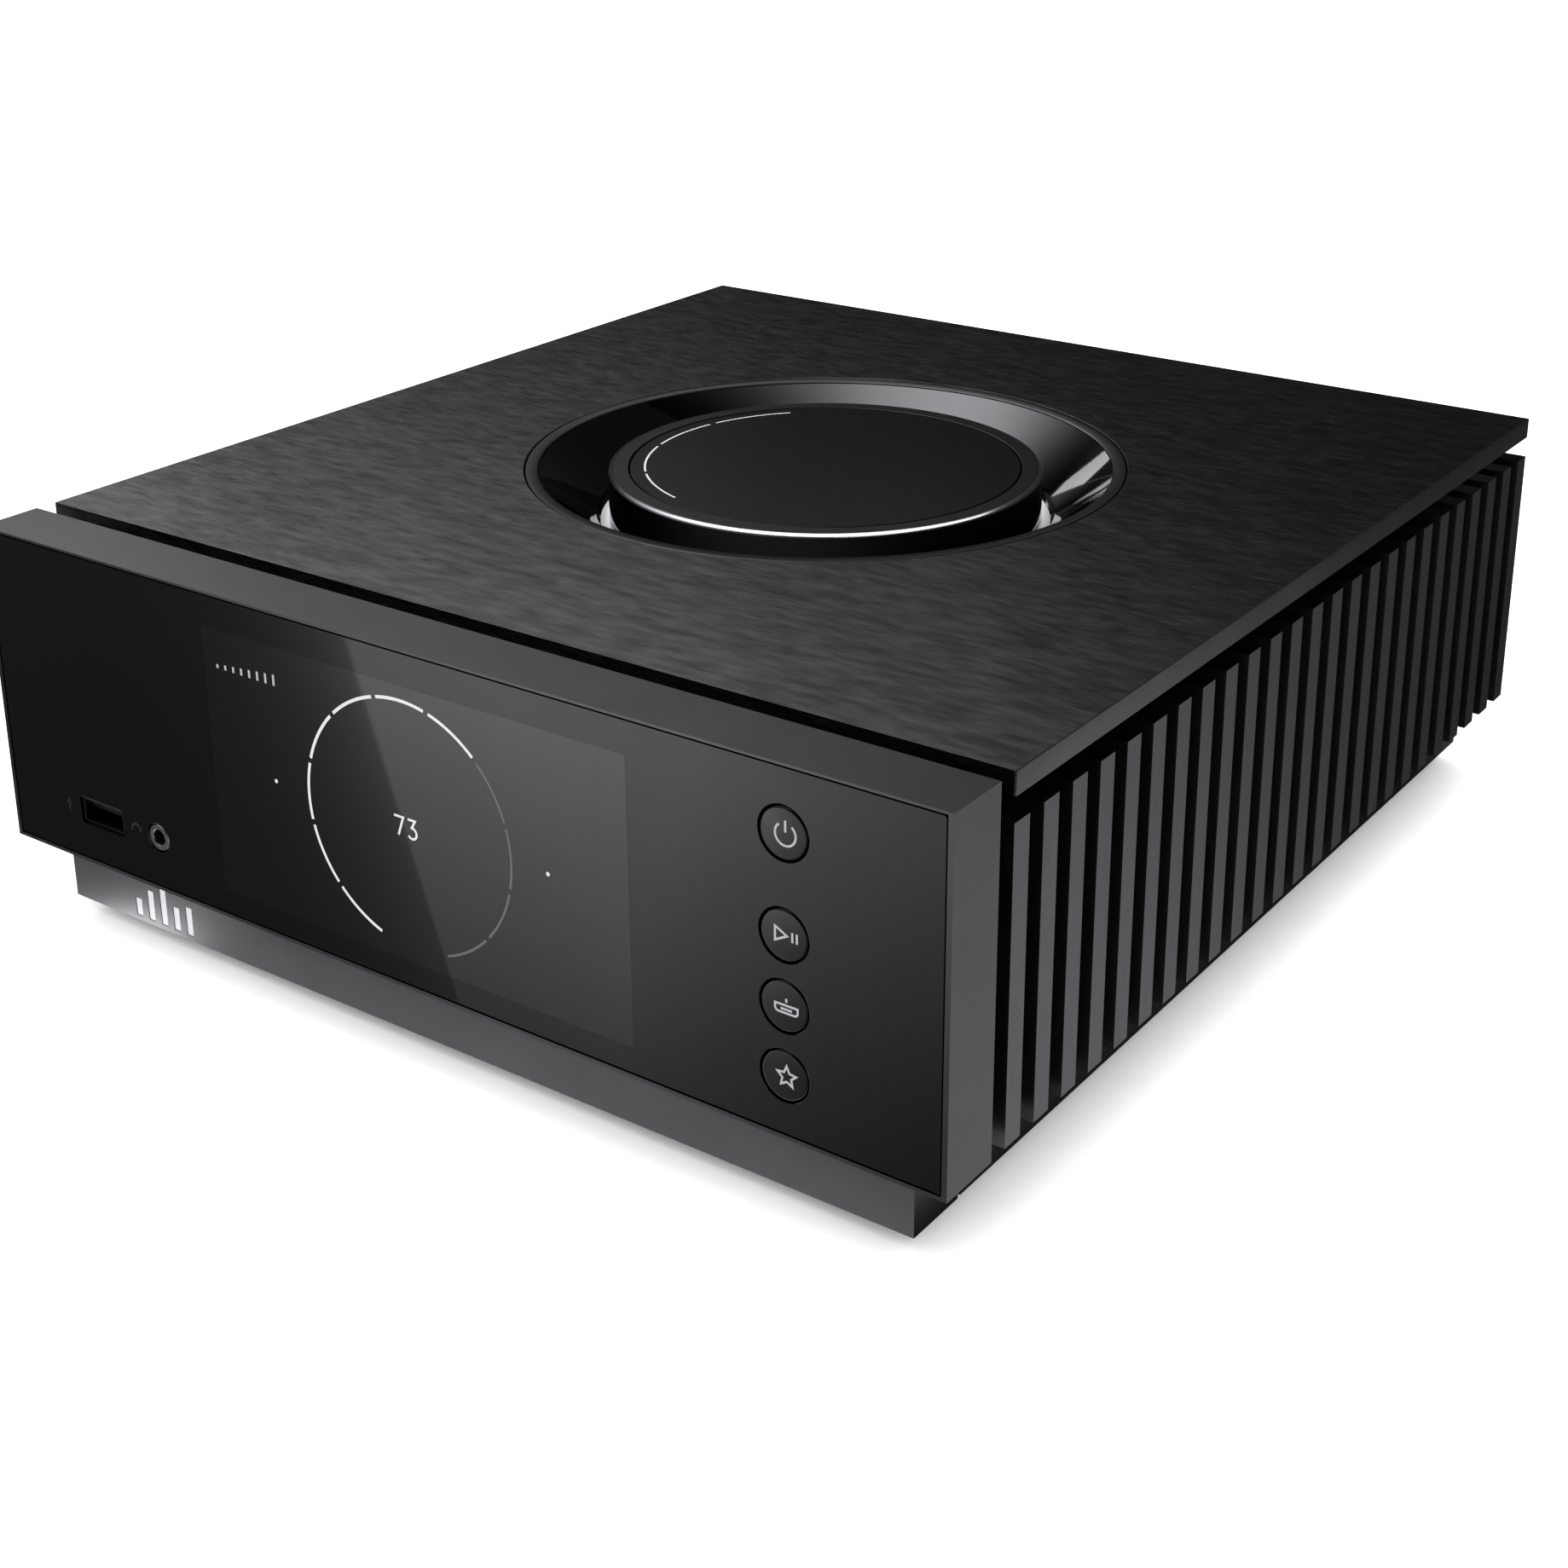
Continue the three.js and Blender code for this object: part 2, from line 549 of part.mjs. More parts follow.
function rockerSwitch() {
  const { x, z, pivot, radius, width, tilt } = ROCKER;
  const mouth = OUT + 1.5;
  part('rocker_housing', cut(
    join(bar(x, z, 13, 22, [111, OUT + 0.5]), bar(x, z, 15.5, 25, [OUT, mouth])),
    bar(x, z, width + 0.8, 2 * radius + 0.8, [114, mouth + 1]),
  ), BLACK_PLASTIC);

  // Two shallow faces meet at the middle, and the ends are arcs about the pivot.
  const corner = Math.acos(5.2 / radius);
  const back = Math.acos(-3 / radius);
  const steps = 6;
  const upper = [];
  for (let i = 0; i <= steps; i += 1) {
    const angle = corner + ((back - corner) * i) / steps;
    upper.push([radius * Math.cos(angle), radius * Math.sin(angle)]);
  }
  const lower = upper.map(([dy, dz]) => [dy, -dz]).reverse();
  const paddle = extrudedX([[3.2, 0], ...upper, ...lower], [-width / 2, width / 2]);
  paddle.rotateX(THREE.MathUtils.degToRad(tilt)).translate(x, pivot, z);
  part('power_rocker', paddle, BLACK_PLASTIC);
}

// A block on the board behind the panel, with one or two phono barrels on it.
function phonoSockets() {
  const { z, radius, block } = PHONO;
  for (const [name, places] of Object.entries(PHONO_SOCKETS)) {
    const middle = (places[0] + places.at(-1)) / 2;
    const width = places.at(-1) - places[0] + block;
    part(name, cut(
      join(
        bar(middle, z, width, block, [108, IN]),
        ...places.map((x) => rodY(x, z, radius, [IN - 1, 131], ROUND_MEDIUM)),
        ...places.map((x) => rodY(x, z, radius + 1.4, [OUT, OUT + 1.4], ROUND_MEDIUM)),
      ),
      ...places.map((x) => rodY(x, z, 1.7, [122, 132])),
    ), GOLD);
  }
}

function speakerSockets() {
  for (const [name, x] of Object.entries(SPEAKER_SOCKETS)) {
    const { z, radius, body } = SPEAKER;
    part(name, cut(
      join(
        rodY(x, z, body, [106, 126], ROUND_MEDIUM),
        rodY(x, z, radius, [OUT, 127.5], ROUND_MEDIUM),
      ),
      rodY(x, z, 2.05, [110, 129]),
    ), name.endsWith('positive') ? RED_PLASTIC : BLACK_PLASTIC);
  }
}

// The optical input's shutter hangs from its top edge and folds inward.
const SHUTTER = { width: 6.8, thick: 0.8, drop: 6.1, lift: 0.4, y: OUT + 1.2, fromTop: 0.75 };

function opticalSocket() {
  const { x, z, size, cavity } = OPTICAL;
  const mouth = OUT + 2;
  part('optical_input', cut(
    join(bar(x, z, size - 0.8, size - 0.8, [108, OUT + 0.5]), bar(x, z, size + 1, size + 1, [OUT, mouth])),
    bar(x, z, cavity, cavity, [112, mouth + 1]),
  ), BLACK_PLASTIC);
  const hinge = z + cavity / 2 - SHUTTER.fromTop;
  part('optical_shutter', box([x - SHUTTER.width / 2, x + SHUTTER.width / 2],
    [SHUTTER.y - SHUTTER.thick / 2, SHUTTER.y + SHUTTER.thick / 2],
    [hinge - SHUTTER.drop, hinge + SHUTTER.lift]), BLACK_PLASTIC);
}

function ethernetSocket() {
  const { x, z, width, height } = ETHERNET;
  const mouth = OUT + 1;
  part('ethernet_socket', cut(
    bar(x, z, width, height, [106, mouth]),
    bar(x, z + 0.6, 11.8, 8, [110, mouth + 1]),
    bar(x, z - 4, 6, 3, [110, mouth + 1]),
  ), STEEL);
}

function hdmiSocket() {
  const { x, z, width, height } = HDMI;
  const mouth = OUT + 0.6;
  part('hdmi_socket', join(
    cut(bar(x, z, width, height, [110, mouth]), bar(x, z, width - 1.2, height - 1.2, [111, mouth + 1])),
    bar(x, z + 0.4, 11.4, 1.3, [110.5, mouth - 1]),
  ), STEEL);
}

function antennaSocket() {
  part('antenna_socket', cut(
    join(
      rodY(ANTENNA.x, ANTENNA.z, 4.6, [OUT, OUT + 2.4], 6),
      rodY(ANTENNA.x, ANTENNA.z, 3.1, [112, 130.5]),
    ),
    rodY(ANTENNA.x, ANTENNA.z, 1.2, [124, 132], 12),
  ), GOLD);
}

// ---- Inside --------------------------------------------------------------------

function transformer() {
  const [x, y] = [-52, -58];
  const [bottom, top] = [9, 45];
  const round = 3;
  part('toroidal_transformer', turned([
    [14, bottom + round], [14 + round, bottom], [42 - round, bottom], [42, bottom + round],
    [42, top - round], [42 - round, top], [14 + round, top], [14, top - round],
  ], x, y, ROUND_HIDDEN), WINDING_TAPE);
  part('transformer_clamp', join(
    rodZ(x, y, 24, [top + GAP, top + 2.3], ROUND_MEDIUM),
    rodZ(x, y, 3, [TRAY.bottom + TRAY.sheet + GAP, top + 5], 12),
  ), STEEL);
}

function boards() {
  const level = (top) => [top - BOARD_THICK, top];
  part('main_board', box([-95, 95], [-2, 119.5], level(MAIN_BOARD_TOP)), CIRCUIT_BOARD);
  part('analogue_board', box([-58, 66], [62, 119.5], level(UPPER_BOARD_TOP)), CIRCUIT_BOARD);
  part('power_supply_board', box([18, 98], [-104, -12], level(14)), CIRCUIT_BOARD);
}

function capacitors() {
  for (const [hand, y] of [['front', -80], ['rear', -40]]) {
    part(`reservoir_capacitor_${hand}`, rodZ(58, y, 17, [14 + GAP, 58], ROUND_MEDIUM), CAPACITOR_SLEEVE);
  }
}

// Each channel's amplifier board stands beside a heatsink, which its transistors touch.
function amplifierBoards() {
  for (const [hand, side] of [['left', -1], ['right', 1]]) {
    const outward = (a, b) => [side * a, side * b].sort((p, q) => p - q);
    const board = box(outward(98, 98 + BOARD_THICK), [2, 104], [32, 78]);
    const transistors = [25, 55, 85].map((y) =>
      box(outward(99, PANEL_HALF), [y - 8, y + 8], [50, 70]));
    part(`amplifier_board_${hand}`, join(board, ...transistors), CIRCUIT_BOARD);
  }
}

// A flat ribbon cable from the front board to the main board's front edge.
function ribbonCable() {
  const path = new THREE.CatmullRomCurve3([
    new THREE.Vector3(4, FRONT_BOARD_BACK + GAP, 40),
    new THREE.Vector3(4, -96, 40),
    new THREE.Vector3(4, -50, 32),
    new THREE.Vector3(4, -12, 28.2),
    new THREE.Vector3(4, 12, 28.2),
  ]);
  const section = new THREE.Shape([[-8, -0.4], [8, -0.4], [8, 0.4], [-8, 0.4]].map(([u, v]) =>
    new THREE.Vector2(u, v)));
  const ribbon = new THREE.ExtrudeGeometry(section, { steps: 24, extrudePath: path, bevelEnabled: false });
  part('ribbon_cable', ribbon, RIBBON);
}

// ---- Assembly ------------------------------------------------------------------

frontBezel();
frontGlass();
displayModule();
buttons();
frontBoards();
part('front_usb_socket', usbSocket(FRONT_USB.x, FRONT_USB.z, GLASS_FRONT + 0.5, FRONT_BOARD_BACK), STEEL);
part('headphone_jack', headphoneJack(), BLACK_PLASTIC);
frontSubframe();
topPlate();
dialWell();
volumeRing();
dialDisc();
dialPedestal();
dialBearing();
part('left_heatsink', heatsink(-1), SATIN_BLACK);
part('right_heatsink', heatsink(1), SATIN_BLACK);
plinth();
baseTray();
feet();
rearPanel();
mainsInlet();
rockerSwitch();
phonoSockets();
speakerSockets();
opticalSocket();
ethernetSocket();
hdmiSocket();
part('rear_usb_socket', usbSocket(REAR_USB.x, REAR_USB.z, OUT + 0.6, 110), STEEL);
antennaSocket();
transformer();
boards();
capacitors();
amplifierBoards();
ribbonCable();

export default group;
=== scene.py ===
"""Looks of the desktop DAC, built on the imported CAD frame."""

import json
from math import atan2, cos, degrees, exp, pi, radians, sin

import bmesh
import bpy
from mathutils import Matrix, Vector


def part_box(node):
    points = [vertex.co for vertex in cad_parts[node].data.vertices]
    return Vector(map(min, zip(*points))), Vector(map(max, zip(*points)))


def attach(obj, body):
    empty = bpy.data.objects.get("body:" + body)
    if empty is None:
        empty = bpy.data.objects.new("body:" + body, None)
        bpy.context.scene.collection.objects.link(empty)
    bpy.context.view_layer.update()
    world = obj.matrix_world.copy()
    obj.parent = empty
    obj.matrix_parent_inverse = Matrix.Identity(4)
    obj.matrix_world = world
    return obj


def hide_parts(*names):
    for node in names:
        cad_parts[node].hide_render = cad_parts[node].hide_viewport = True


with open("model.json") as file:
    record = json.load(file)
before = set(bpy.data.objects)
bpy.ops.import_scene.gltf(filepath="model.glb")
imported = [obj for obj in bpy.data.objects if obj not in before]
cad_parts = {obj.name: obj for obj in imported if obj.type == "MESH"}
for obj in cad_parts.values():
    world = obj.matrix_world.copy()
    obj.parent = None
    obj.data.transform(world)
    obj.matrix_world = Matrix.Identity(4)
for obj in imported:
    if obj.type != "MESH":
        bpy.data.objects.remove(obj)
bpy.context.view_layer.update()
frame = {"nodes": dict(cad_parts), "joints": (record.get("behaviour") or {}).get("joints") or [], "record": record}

MM = 0.001
TURN = 2 * pi


def add_object(name, data):
    obj = bpy.data.objects.new(name, data)
    bpy.context.scene.collection.objects.link(obj)
    return obj


# ---- Places taken from the frame ----

def joint_place(name):
    return next(Vector(joint["pos_m"]) for joint in frame["joints"] if joint["name"] == name)


DIAL = joint_place("dial_turn")
GLASS_LOW, GLASS_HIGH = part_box("front_glass")
TOP_LOW, TOP_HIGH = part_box("top_plate")
GLASS_FACE = GLASS_LOW.y
TOP_FACE = TOP_HIGH.z
BUTTON_NODES = {name: "button_" + name for name in ("power", "play", "input", "favourite")}


def middle(node):
    low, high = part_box(node)
    return (low + high) / 2


def axis_place(node):
    """(x, z) of a node's middle, for parts that face along Y."""
    centre = middle(node)
    return centre.x, centre.z


# ---- Materials ----

def shader(name):
    """A new material with its node tree and its principled shader."""
    material = bpy.data.materials.new(name)
    material.use_nodes = True
    return material, material.node_tree, material.node_tree.nodes["Principled BSDF"]


def set_inputs(node, **values):
    """Sets a node's plain values. An underscore in a name stands for a space."""
    for socket, value in values.items():
        node.inputs[socket.replace("_", " ")].default_value = value
    return node


def add_node(tree, kind, **values):
    return set_inputs(tree.nodes.new("ShaderNode" + kind), **values)


def stretched_noise(tree, scale, detail):
    """Noise over the object's own metres, with its own scale along each axis."""
    place = add_node(tree, "TexCoord")
    mapping = add_node(tree, "Mapping", Scale=scale)
    noise = add_node(tree, "TexNoise", Scale=1.0, Detail=detail)
    tree.links.new(place.outputs["Object"], mapping.inputs["Vector"])
    tree.links.new(mapping.outputs["Vector"], noise.inputs["Vector"])
    return noise.outputs["Fac"]


def spread(tree, source, low=0.0, high=1.0):
    """The noise's middle range, stretched to run from low to high."""
    ranged = add_node(tree, "MapRange", From_Min=0.3, From_Max=0.7, To_Min=low, To_Max=high)
    tree.links.new(source, ranged.inputs["Value"])
    return ranged.outputs["Result"]


def between(tree, source, dark, light):
    mix = add_node(tree, "Mix")
    mix.data_type = "RGBA"
    set_inputs(mix, A=(*dark, 1), B=(*light, 1))
    tree.links.new(source, mix.inputs["Factor"])
    return mix.outputs["Result"]


def bump(tree, bsdf, source, strength, distance):
    node = add_node(tree, "Bump", Strength=strength, Distance=distance)
    tree.links.new(source, node.inputs["Height"])
    tree.links.new(node.outputs["Normal"], bsdf.inputs["Normal"])


def tint(tone):
    """A colour, or a nearly neutral grey from a single number."""
    return tone if isinstance(tone, tuple) else (tone, tone, tone * 1.03)


def surface(name, dark, light, rough, metal=0.0, cloud=(60, 60, 60), grain=(3000, 3000, 3000),
            relief=0.1, **sockets):
    """A finish with slow colour variation, fine grain in its roughness, and a fine relief."""
    material, tree, bsdf = shader(name)
    slow = stretched_noise(tree, cloud, 3.0)
    fine = stretched_noise(tree, grain, 2.0)
    tone = spread(tree, slow)
    tree.links.new(between(tree, tone, tint(dark), tint(light)), bsdf.inputs["Base Color"])
    tree.links.new(spread(tree, fine, *rough), bsdf.inputs["Roughness"])
    bump(tree, bsdf, fine, relief, 0.02 * MM)
    set_inputs(bsdf, Metallic=metal, **sockets)
    return material


def brushed(name, dark, light, rough):
    """Anodised aluminium brushed along X: short soft streaks of tone, and a finer relief."""
    material, tree, bsdf = shader(name)
    streaks = stretched_noise(tree, (110, 420, 420), 2.0)
    hairs = stretched_noise(tree, (220, 2100, 2100), 2.0)
    blend = add_node(tree, "Mix", Factor=0.2)
    tree.links.new(spread(tree, streaks), blend.inputs["A"])
    tree.links.new(spread(tree, hairs), blend.inputs["B"])
    tone = between(tree, blend.outputs["Result"], tint(dark), tint(light))
    tree.links.new(tone, bsdf.inputs["Base Color"])
    tree.links.new(spread(tree, hairs, *rough), bsdf.inputs["Roughness"])
    bump(tree, bsdf, hairs, 0.2, 0.008 * MM)
    set_inputs(bsdf, Metallic=1.0)
    return material


def lamp(name, colour, strength):
    """A lit window: its own glow over a pale moulded body, with a faint unevenness."""
    material, tree, bsdf = shader(name)
    slow = stretched_noise(tree, (900, 900, 900), 2.0)
    tone = spread(tree, slow)
    glow = between(tree, tone, tuple(0.88 * c for c in colour), colour)
    tree.links.new(glow, bsdf.inputs["Emission Color"])
    tree.links.new(glow, bsdf.inputs["Base Color"])
    set_inputs(bsdf, Emission_Strength=strength, Roughness=0.4)
    return material


SATIN = surface("satin_aluminium", 0.095, 0.105, (0.32, 0.38), 1.0, relief=0.08)
FIN = surface("fin_aluminium", 0.12, 0.14, (0.36, 0.44), 1.0,
              cloud=(20, 20, 4), grain=(2500, 2500, 120), relief=0.1)
BRUSHED = brushed("brushed_aluminium", 0.060, 0.182, (0.24, 0.36))
LID_SIDE = surface("lid_side", 0.10, 0.12, (0.30, 0.36), 1.0, relief=0.05)
GLASS = surface("black_glass", 0.004, 0.005, (0.03, 0.05), relief=0.0, IOR=1.5)
SCREEN_GLASS = surface("screen_glass", (0.008, 0.009, 0.010), (0.010, 0.011, 0.012), (0.03, 0.05),
                       relief=0.0, IOR=1.6)
DISC_GLASS = surface("disc_glass", 0.004, 0.006, (0.26, 0.30), relief=0.02, IOR=1.42)
CHROME = surface("black_chrome", 0.165, 0.18, (0.04, 0.07), 1.0, relief=0.0)
RING_SIDE = surface("ring_side", 0.045, 0.055, (0.06, 0.09), 1.0, relief=0.0)
BARE_METAL = surface("bare_aluminium", 0.72, 0.80, (0.42, 0.5), 1.0, relief=0.1)
CUT_EDGE = surface("cut_edge", 0.72, 0.78, (0.16, 0.22), 1.0, relief=0.02)
PLASTIC = surface("black_plastic", 0.010, 0.014, (0.38, 0.5), relief=0.25)
CAP = surface("button_cap", 0.005, 0.007, (0.08, 0.12), relief=0.0, IOR=1.5)
STEEL_BLACK = surface("black_steel", 0.012, 0.018, (0.5, 0.62), 0.2,
                      grain=(2600, 2600, 2600), relief=0.45)
RUBBER = surface("foot_rubber", 0.008, 0.013, (0.75, 0.9), relief=0.5)
CIRCUIT = surface("circuit_board", (0.006, 0.035, 0.016), (0.010, 0.050, 0.024), (0.3, 0.45),
                  cloud=(400, 400, 400), relief=0.2)
PLATED = surface("plated_steel", 0.42, 0.5, (0.22, 0.34), 1.0, relief=0.05)
MAGNET = surface("magnet", 0.05, 0.07, (0.4, 0.5), 0.6)
GOLD = surface("gold_plate", (0.72, 0.47, 0.17), (0.80, 0.55, 0.22), (0.18, 0.28), 1.0, relief=0.04)
TAPE = surface("winding_tape", (0.30, 0.15, 0.03), (0.42, 0.22, 0.05), (0.3, 0.5), cloud=(300, 300, 40))
SLEEVE = surface("capacitor_sleeve", (0.008, 0.018, 0.07), (0.012, 0.026, 0.10), (0.2, 0.3))
RIBBON = surface("ribbon", (0.42, 0.42, 0.39), (0.5, 0.5, 0.47), (0.45, 0.6), cloud=(800, 10, 10))
DARK_STEEL = surface("dark_steel", 0.05, 0.07, (0.25, 0.35), 1.0, relief=0.05)
NOSE_METAL = surface("nose_metal", 0.30, 0.36, (0.3, 0.38), 1.0, relief=0.05)
SATIN_LIP = surface("satin_lip", 0.10, 0.12, (0.3, 0.36), 1.0, relief=0.05)
RING_TOP = surface("ring_top", 0.012, 0.016, (0.3, 0.38), relief=0.05)
SCREW = surface("screw_steel", 0.03, 0.045, (0.35, 0.5), 0.8, relief=0.15)
PRINT = surface("print_ink", 0.22, 0.27, (0.55, 0.65), relief=0.05)
RED = surface("red_plastic", (0.26, 0.010, 0.008), (0.32, 0.014, 0.010), (0.35, 0.45), relief=0.2)
WHITE_PLASTIC = surface("white_plastic", (0.7, 0.7, 0.68), (0.78, 0.78, 0.76), (0.35, 0.45), relief=0.1)
ORANGE = surface("orange_plastic", (0.5, 0.16, 0.02), (0.6, 0.2, 0.03), (0.35, 0.45), relief=0.1)
ICON = lamp("icon_light", (0.80, 0.82, 0.85), 0.55)
BRIGHT = lamp("segment_lit", (0.96, 0.98, 1.0), 0.8)
DIM = lamp("segment_dim", (0.40, 0.42, 0.44), 0.22)
FAINT = lamp("faint_mark", (0.16, 0.16, 0.17), 0.03)
ARC = lamp("dial_arc", (0.60, 0.61, 0.64), 0.2)
MARK = lamp("plinth_mark", (0.96, 0.98, 1.0), 0.7)

SLOT_FINISH = {
    "satin_aluminium": SATIN, "brushed_aluminium": BRUSHED, "black_glass": GLASS,
    "display": SCREEN_GLASS, "black_chrome": CHROME, "black_plastic": PLASTIC,
    "black_steel": STEEL_BLACK, "light_guide": ARC, "foot_rubber": RUBBER,
    "circuit_board": CIRCUIT, "plated_steel": PLATED, "magnet": MAGNET, "gold_plate": GOLD,
    "winding_tape": TAPE, "capacitor_sleeve": SLEEVE, "ribbon": RIBBON, "red_plastic": RED,
}


def finish_cad_nodes():
    for entry in frame["record"]["subparts"]:
        node = frame["nodes"][entry["node"]]
        node.data.materials.clear()
        node.data.materials.append(SLOT_FINISH[entry["material_slot"]])
    for name in ("left_heatsink", "right_heatsink"):
        frame["nodes"][name].data.materials[0] = FIN
    frame["nodes"]["plinth_light_guide"].data.materials[0] = MARK


def soften(node_name, width):
    """Rounds a CAD node's sharp edges."""
    node = frame["nodes"][node_name]
    bevel = node.modifiers.new("edge_round", "BEVEL")
    bevel.width = width * MM
    bevel.segments = 2
    bevel.limit_method = "ANGLE"
    bevel.angle_limit = radians(40)
    bevel.harden_normals = False


# ---- Mesh building ----

def piece(name, shape, material=PLASTIC, replaces=(), body="case"):
    """A visible piece made from a mesh or a bmesh, of black plastic unless told otherwise."""
    mesh = mesh_from(name, shape) if isinstance(shape, bmesh.types.BMesh) else shape
    obj = add_object(name, mesh)
    mesh.materials.append(material)
    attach(obj, body)
    if replaces:
        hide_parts(*replaces)
    return obj


def mesh_from(name, bm, smooth_angle=35):
    bmesh.ops.remove_doubles(bm, verts=bm.verts, dist=1e-7)
    bmesh.ops.recalc_face_normals(bm, faces=bm.faces)
    mesh = bpy.data.meshes.new(name)
    bm.to_mesh(mesh)
    bm.free()
    mesh.polygons.foreach_set("use_smooth", [True] * len(mesh.polygons))
    mesh.set_sharp_from_angle(angle=radians(smooth_angle))
    return mesh


def add_turned(bm, profile, centre, axis, segments):
    """A closed ring or a solid of revolution. The profile holds (radius, height) pairs in mm."""
    columns = []
    for i in range(segments):
        c, s = polar(0, 0, 1, TURN * i / segments)
        places = [(r * c, r * s, h) if axis == "Z" else (r * c, h, r * s) for r, h in profile]
        columns.append([bm.verts.new(centre + Vector(place) * MM) for place in places])
    on_axis = [r < 1e-6 for r, h in profile]
    spans = len(profile) - 1 if on_axis[0] else len(profile)
    for i in range(segments):
        a, b = columns[i], columns[(i + 1) % segments]
        for j in range(spans):
            k = (j + 1) % len(profile)
            corners = [a[j], b[j], b[k], a[k]]
            if on_axis[j]:
                corners = [a[j], b[k], a[k]]
            elif on_axis[k]:
                corners = [a[j], b[j], a[k]]
            bm.faces.new(corners)


def bridge(bm, rows, closed=True):
    """Quads between each row of vertices and the next."""
    for a, b in zip(rows, rows[1:]):
        for j in range(len(a) if closed else len(a) - 1):
            k = (j + 1) % len(a)
            bm.faces.new((a[j], a[k], b[k], b[j]))


def turned(name, profile, centre, axis, segments):
    bm = bmesh.new()
    add_turned(bm, profile, centre, axis, segments)
    return mesh_from(name, bm)


def add_box(bm, low, high, bevel=0.0):
    made = bmesh.ops.create_cube(bm, size=1)
    low, high = Vector(low), Vector(high)
    size = high - low
    centre = (low + high) / 2
    for v in made["verts"]:
        v.co = Vector((v.co.x * size.x, v.co.y * size.y, v.co.z * size.z)) + centre
    if bevel:
        edges = list(dict.fromkeys(e for v in made["verts"] for e in v.link_edges))
        bmesh.ops.bevel(bm, geom=edges, offset=bevel, segments=2, affect="EDGES", profile=0.5)


def add_block(bm, x, z, half_wide, half_high, near, far, bevel=0.0):
    """A box about (x, z) that spans near to far along Y. All but x and z are in mm."""
    reach = Vector((half_wide, 0, half_high)) * MM
    add_box(bm, Vector((x, near * MM, z)) - reach, Vector((x, far * MM, z)) + reach, bevel * MM)


def polar(x, z, radius, angle):
    return x + radius * cos(angle), z + radius * sin(angle)


def circle(x, z, radius, sides=96, clockwise=False):
    step = -TURN / sides if clockwise else TURN / sides
    return [polar(x, z, radius, step * i) for i in range(sides)]


def rounded_rectangle(low_x, high_x, low_z, high_z, radius, clockwise=False):
    points = []
    steps = 8
    for cx, cz, start in ((high_x - radius, high_z - radius, 0), (low_x + radius, high_z - radius, 90),
                          (low_x + radius, low_z + radius, 180), (high_x - radius, low_z + radius, 270)):
        for i in range(steps + 1):
            points.append(polar(cx, cz, radius, radians(start + 90 * i / steps)))
    return points[::-1] if clockwise else points


def centred(x, z, half_wide, half_high, radius, clockwise=False):
    """A rounded rectangle about (x, z). All but x and z are in mm."""
    dx, dz = half_wide * MM, half_high * MM
    return rounded_rectangle(x - dx, x + dx, z - dz, z + dz, radius * MM, clockwise)


def about(x, z, points):
    """Turns points in mm about (x, z) into metres."""
    return [(x + px * MM, z + pz * MM) for px, pz in points]


def flat_outline(name, outlines, thickness, bevel):
    """A mesh of the outlines, extruded about z = 0 with rounded rims. Later outlines are holes."""
    curve = bpy.data.curves.new(name, "CURVE")
    curve.dimensions = "2D"
    curve.fill_mode = "BOTH"
    curve.extrude = thickness / 2 - bevel
    curve.bevel_depth = bevel
    curve.bevel_resolution = 1
    curve.offset = -bevel
    for outline in outlines:
        spline = curve.splines.new("POLY")
        spline.points.add(len(outline) - 1)
        for point, (u, v) in zip(spline.points, outline):
            point.co = (u, v, 0, 1)
        spline.use_cyclic_u = True
    holder = add_object(name, curve)
    evaluated = holder.evaluated_get(bpy.context.evaluated_depsgraph_get())
    mesh = bpy.data.meshes.new_from_object(evaluated)
    bpy.data.objects.remove(holder)
    return mesh


def plate(name, outlines, low, high, bevel, axis="Y"):
    """A flat plate with holes and softly rounded rims. Outlines are in metres, the first is the
    outer one; the plate spans low to high along its axis."""
    mesh = flat_outline(name, outlines, high - low, bevel)
    shift = (low + high) / 2
    turn = Matrix.Translation((0, 0, shift))
    if axis == "Y":  # (u, v) becomes (x, z)
        turn = Matrix.Translation((0, shift, 0)) @ Matrix.Rotation(pi / 2, 4, "X")
    mesh.transform(turn)
    bm = bmesh.new()
    bm.from_mesh(mesh)
    bpy.data.meshes.remove(mesh)
    flat = mesh_from(name, bm, 30)
    across = 1 if axis == "Y" else 2
    for face in flat.polygons:
        face.use_smooth = abs(face.normal[across]) < 0.999
    return flat


def plate_piece(name, outlines, low, high, bevel, material=PLASTIC, replaces=()):
    piece(name, plate(name, outlines, low, high, bevel), material, replaces)


def block_piece(name, place, half_size, span, bevel, material=PLASTIC):
    bm = bmesh.new()
    add_block(bm, *place, *half_size, *span, bevel)
    piece(name, bm, material)


def turned_piece(name, profile, x, z, segments, material, replaces=(), body="case"):
    """A piece turned about an axis along Y through (x, z)."""
    mesh = turned(name, profile, Vector((x, 0, z)), "Y", segments)
    piece(name, mesh, material, replaces, body)


PRINT_RAISED = 0.03 * MM


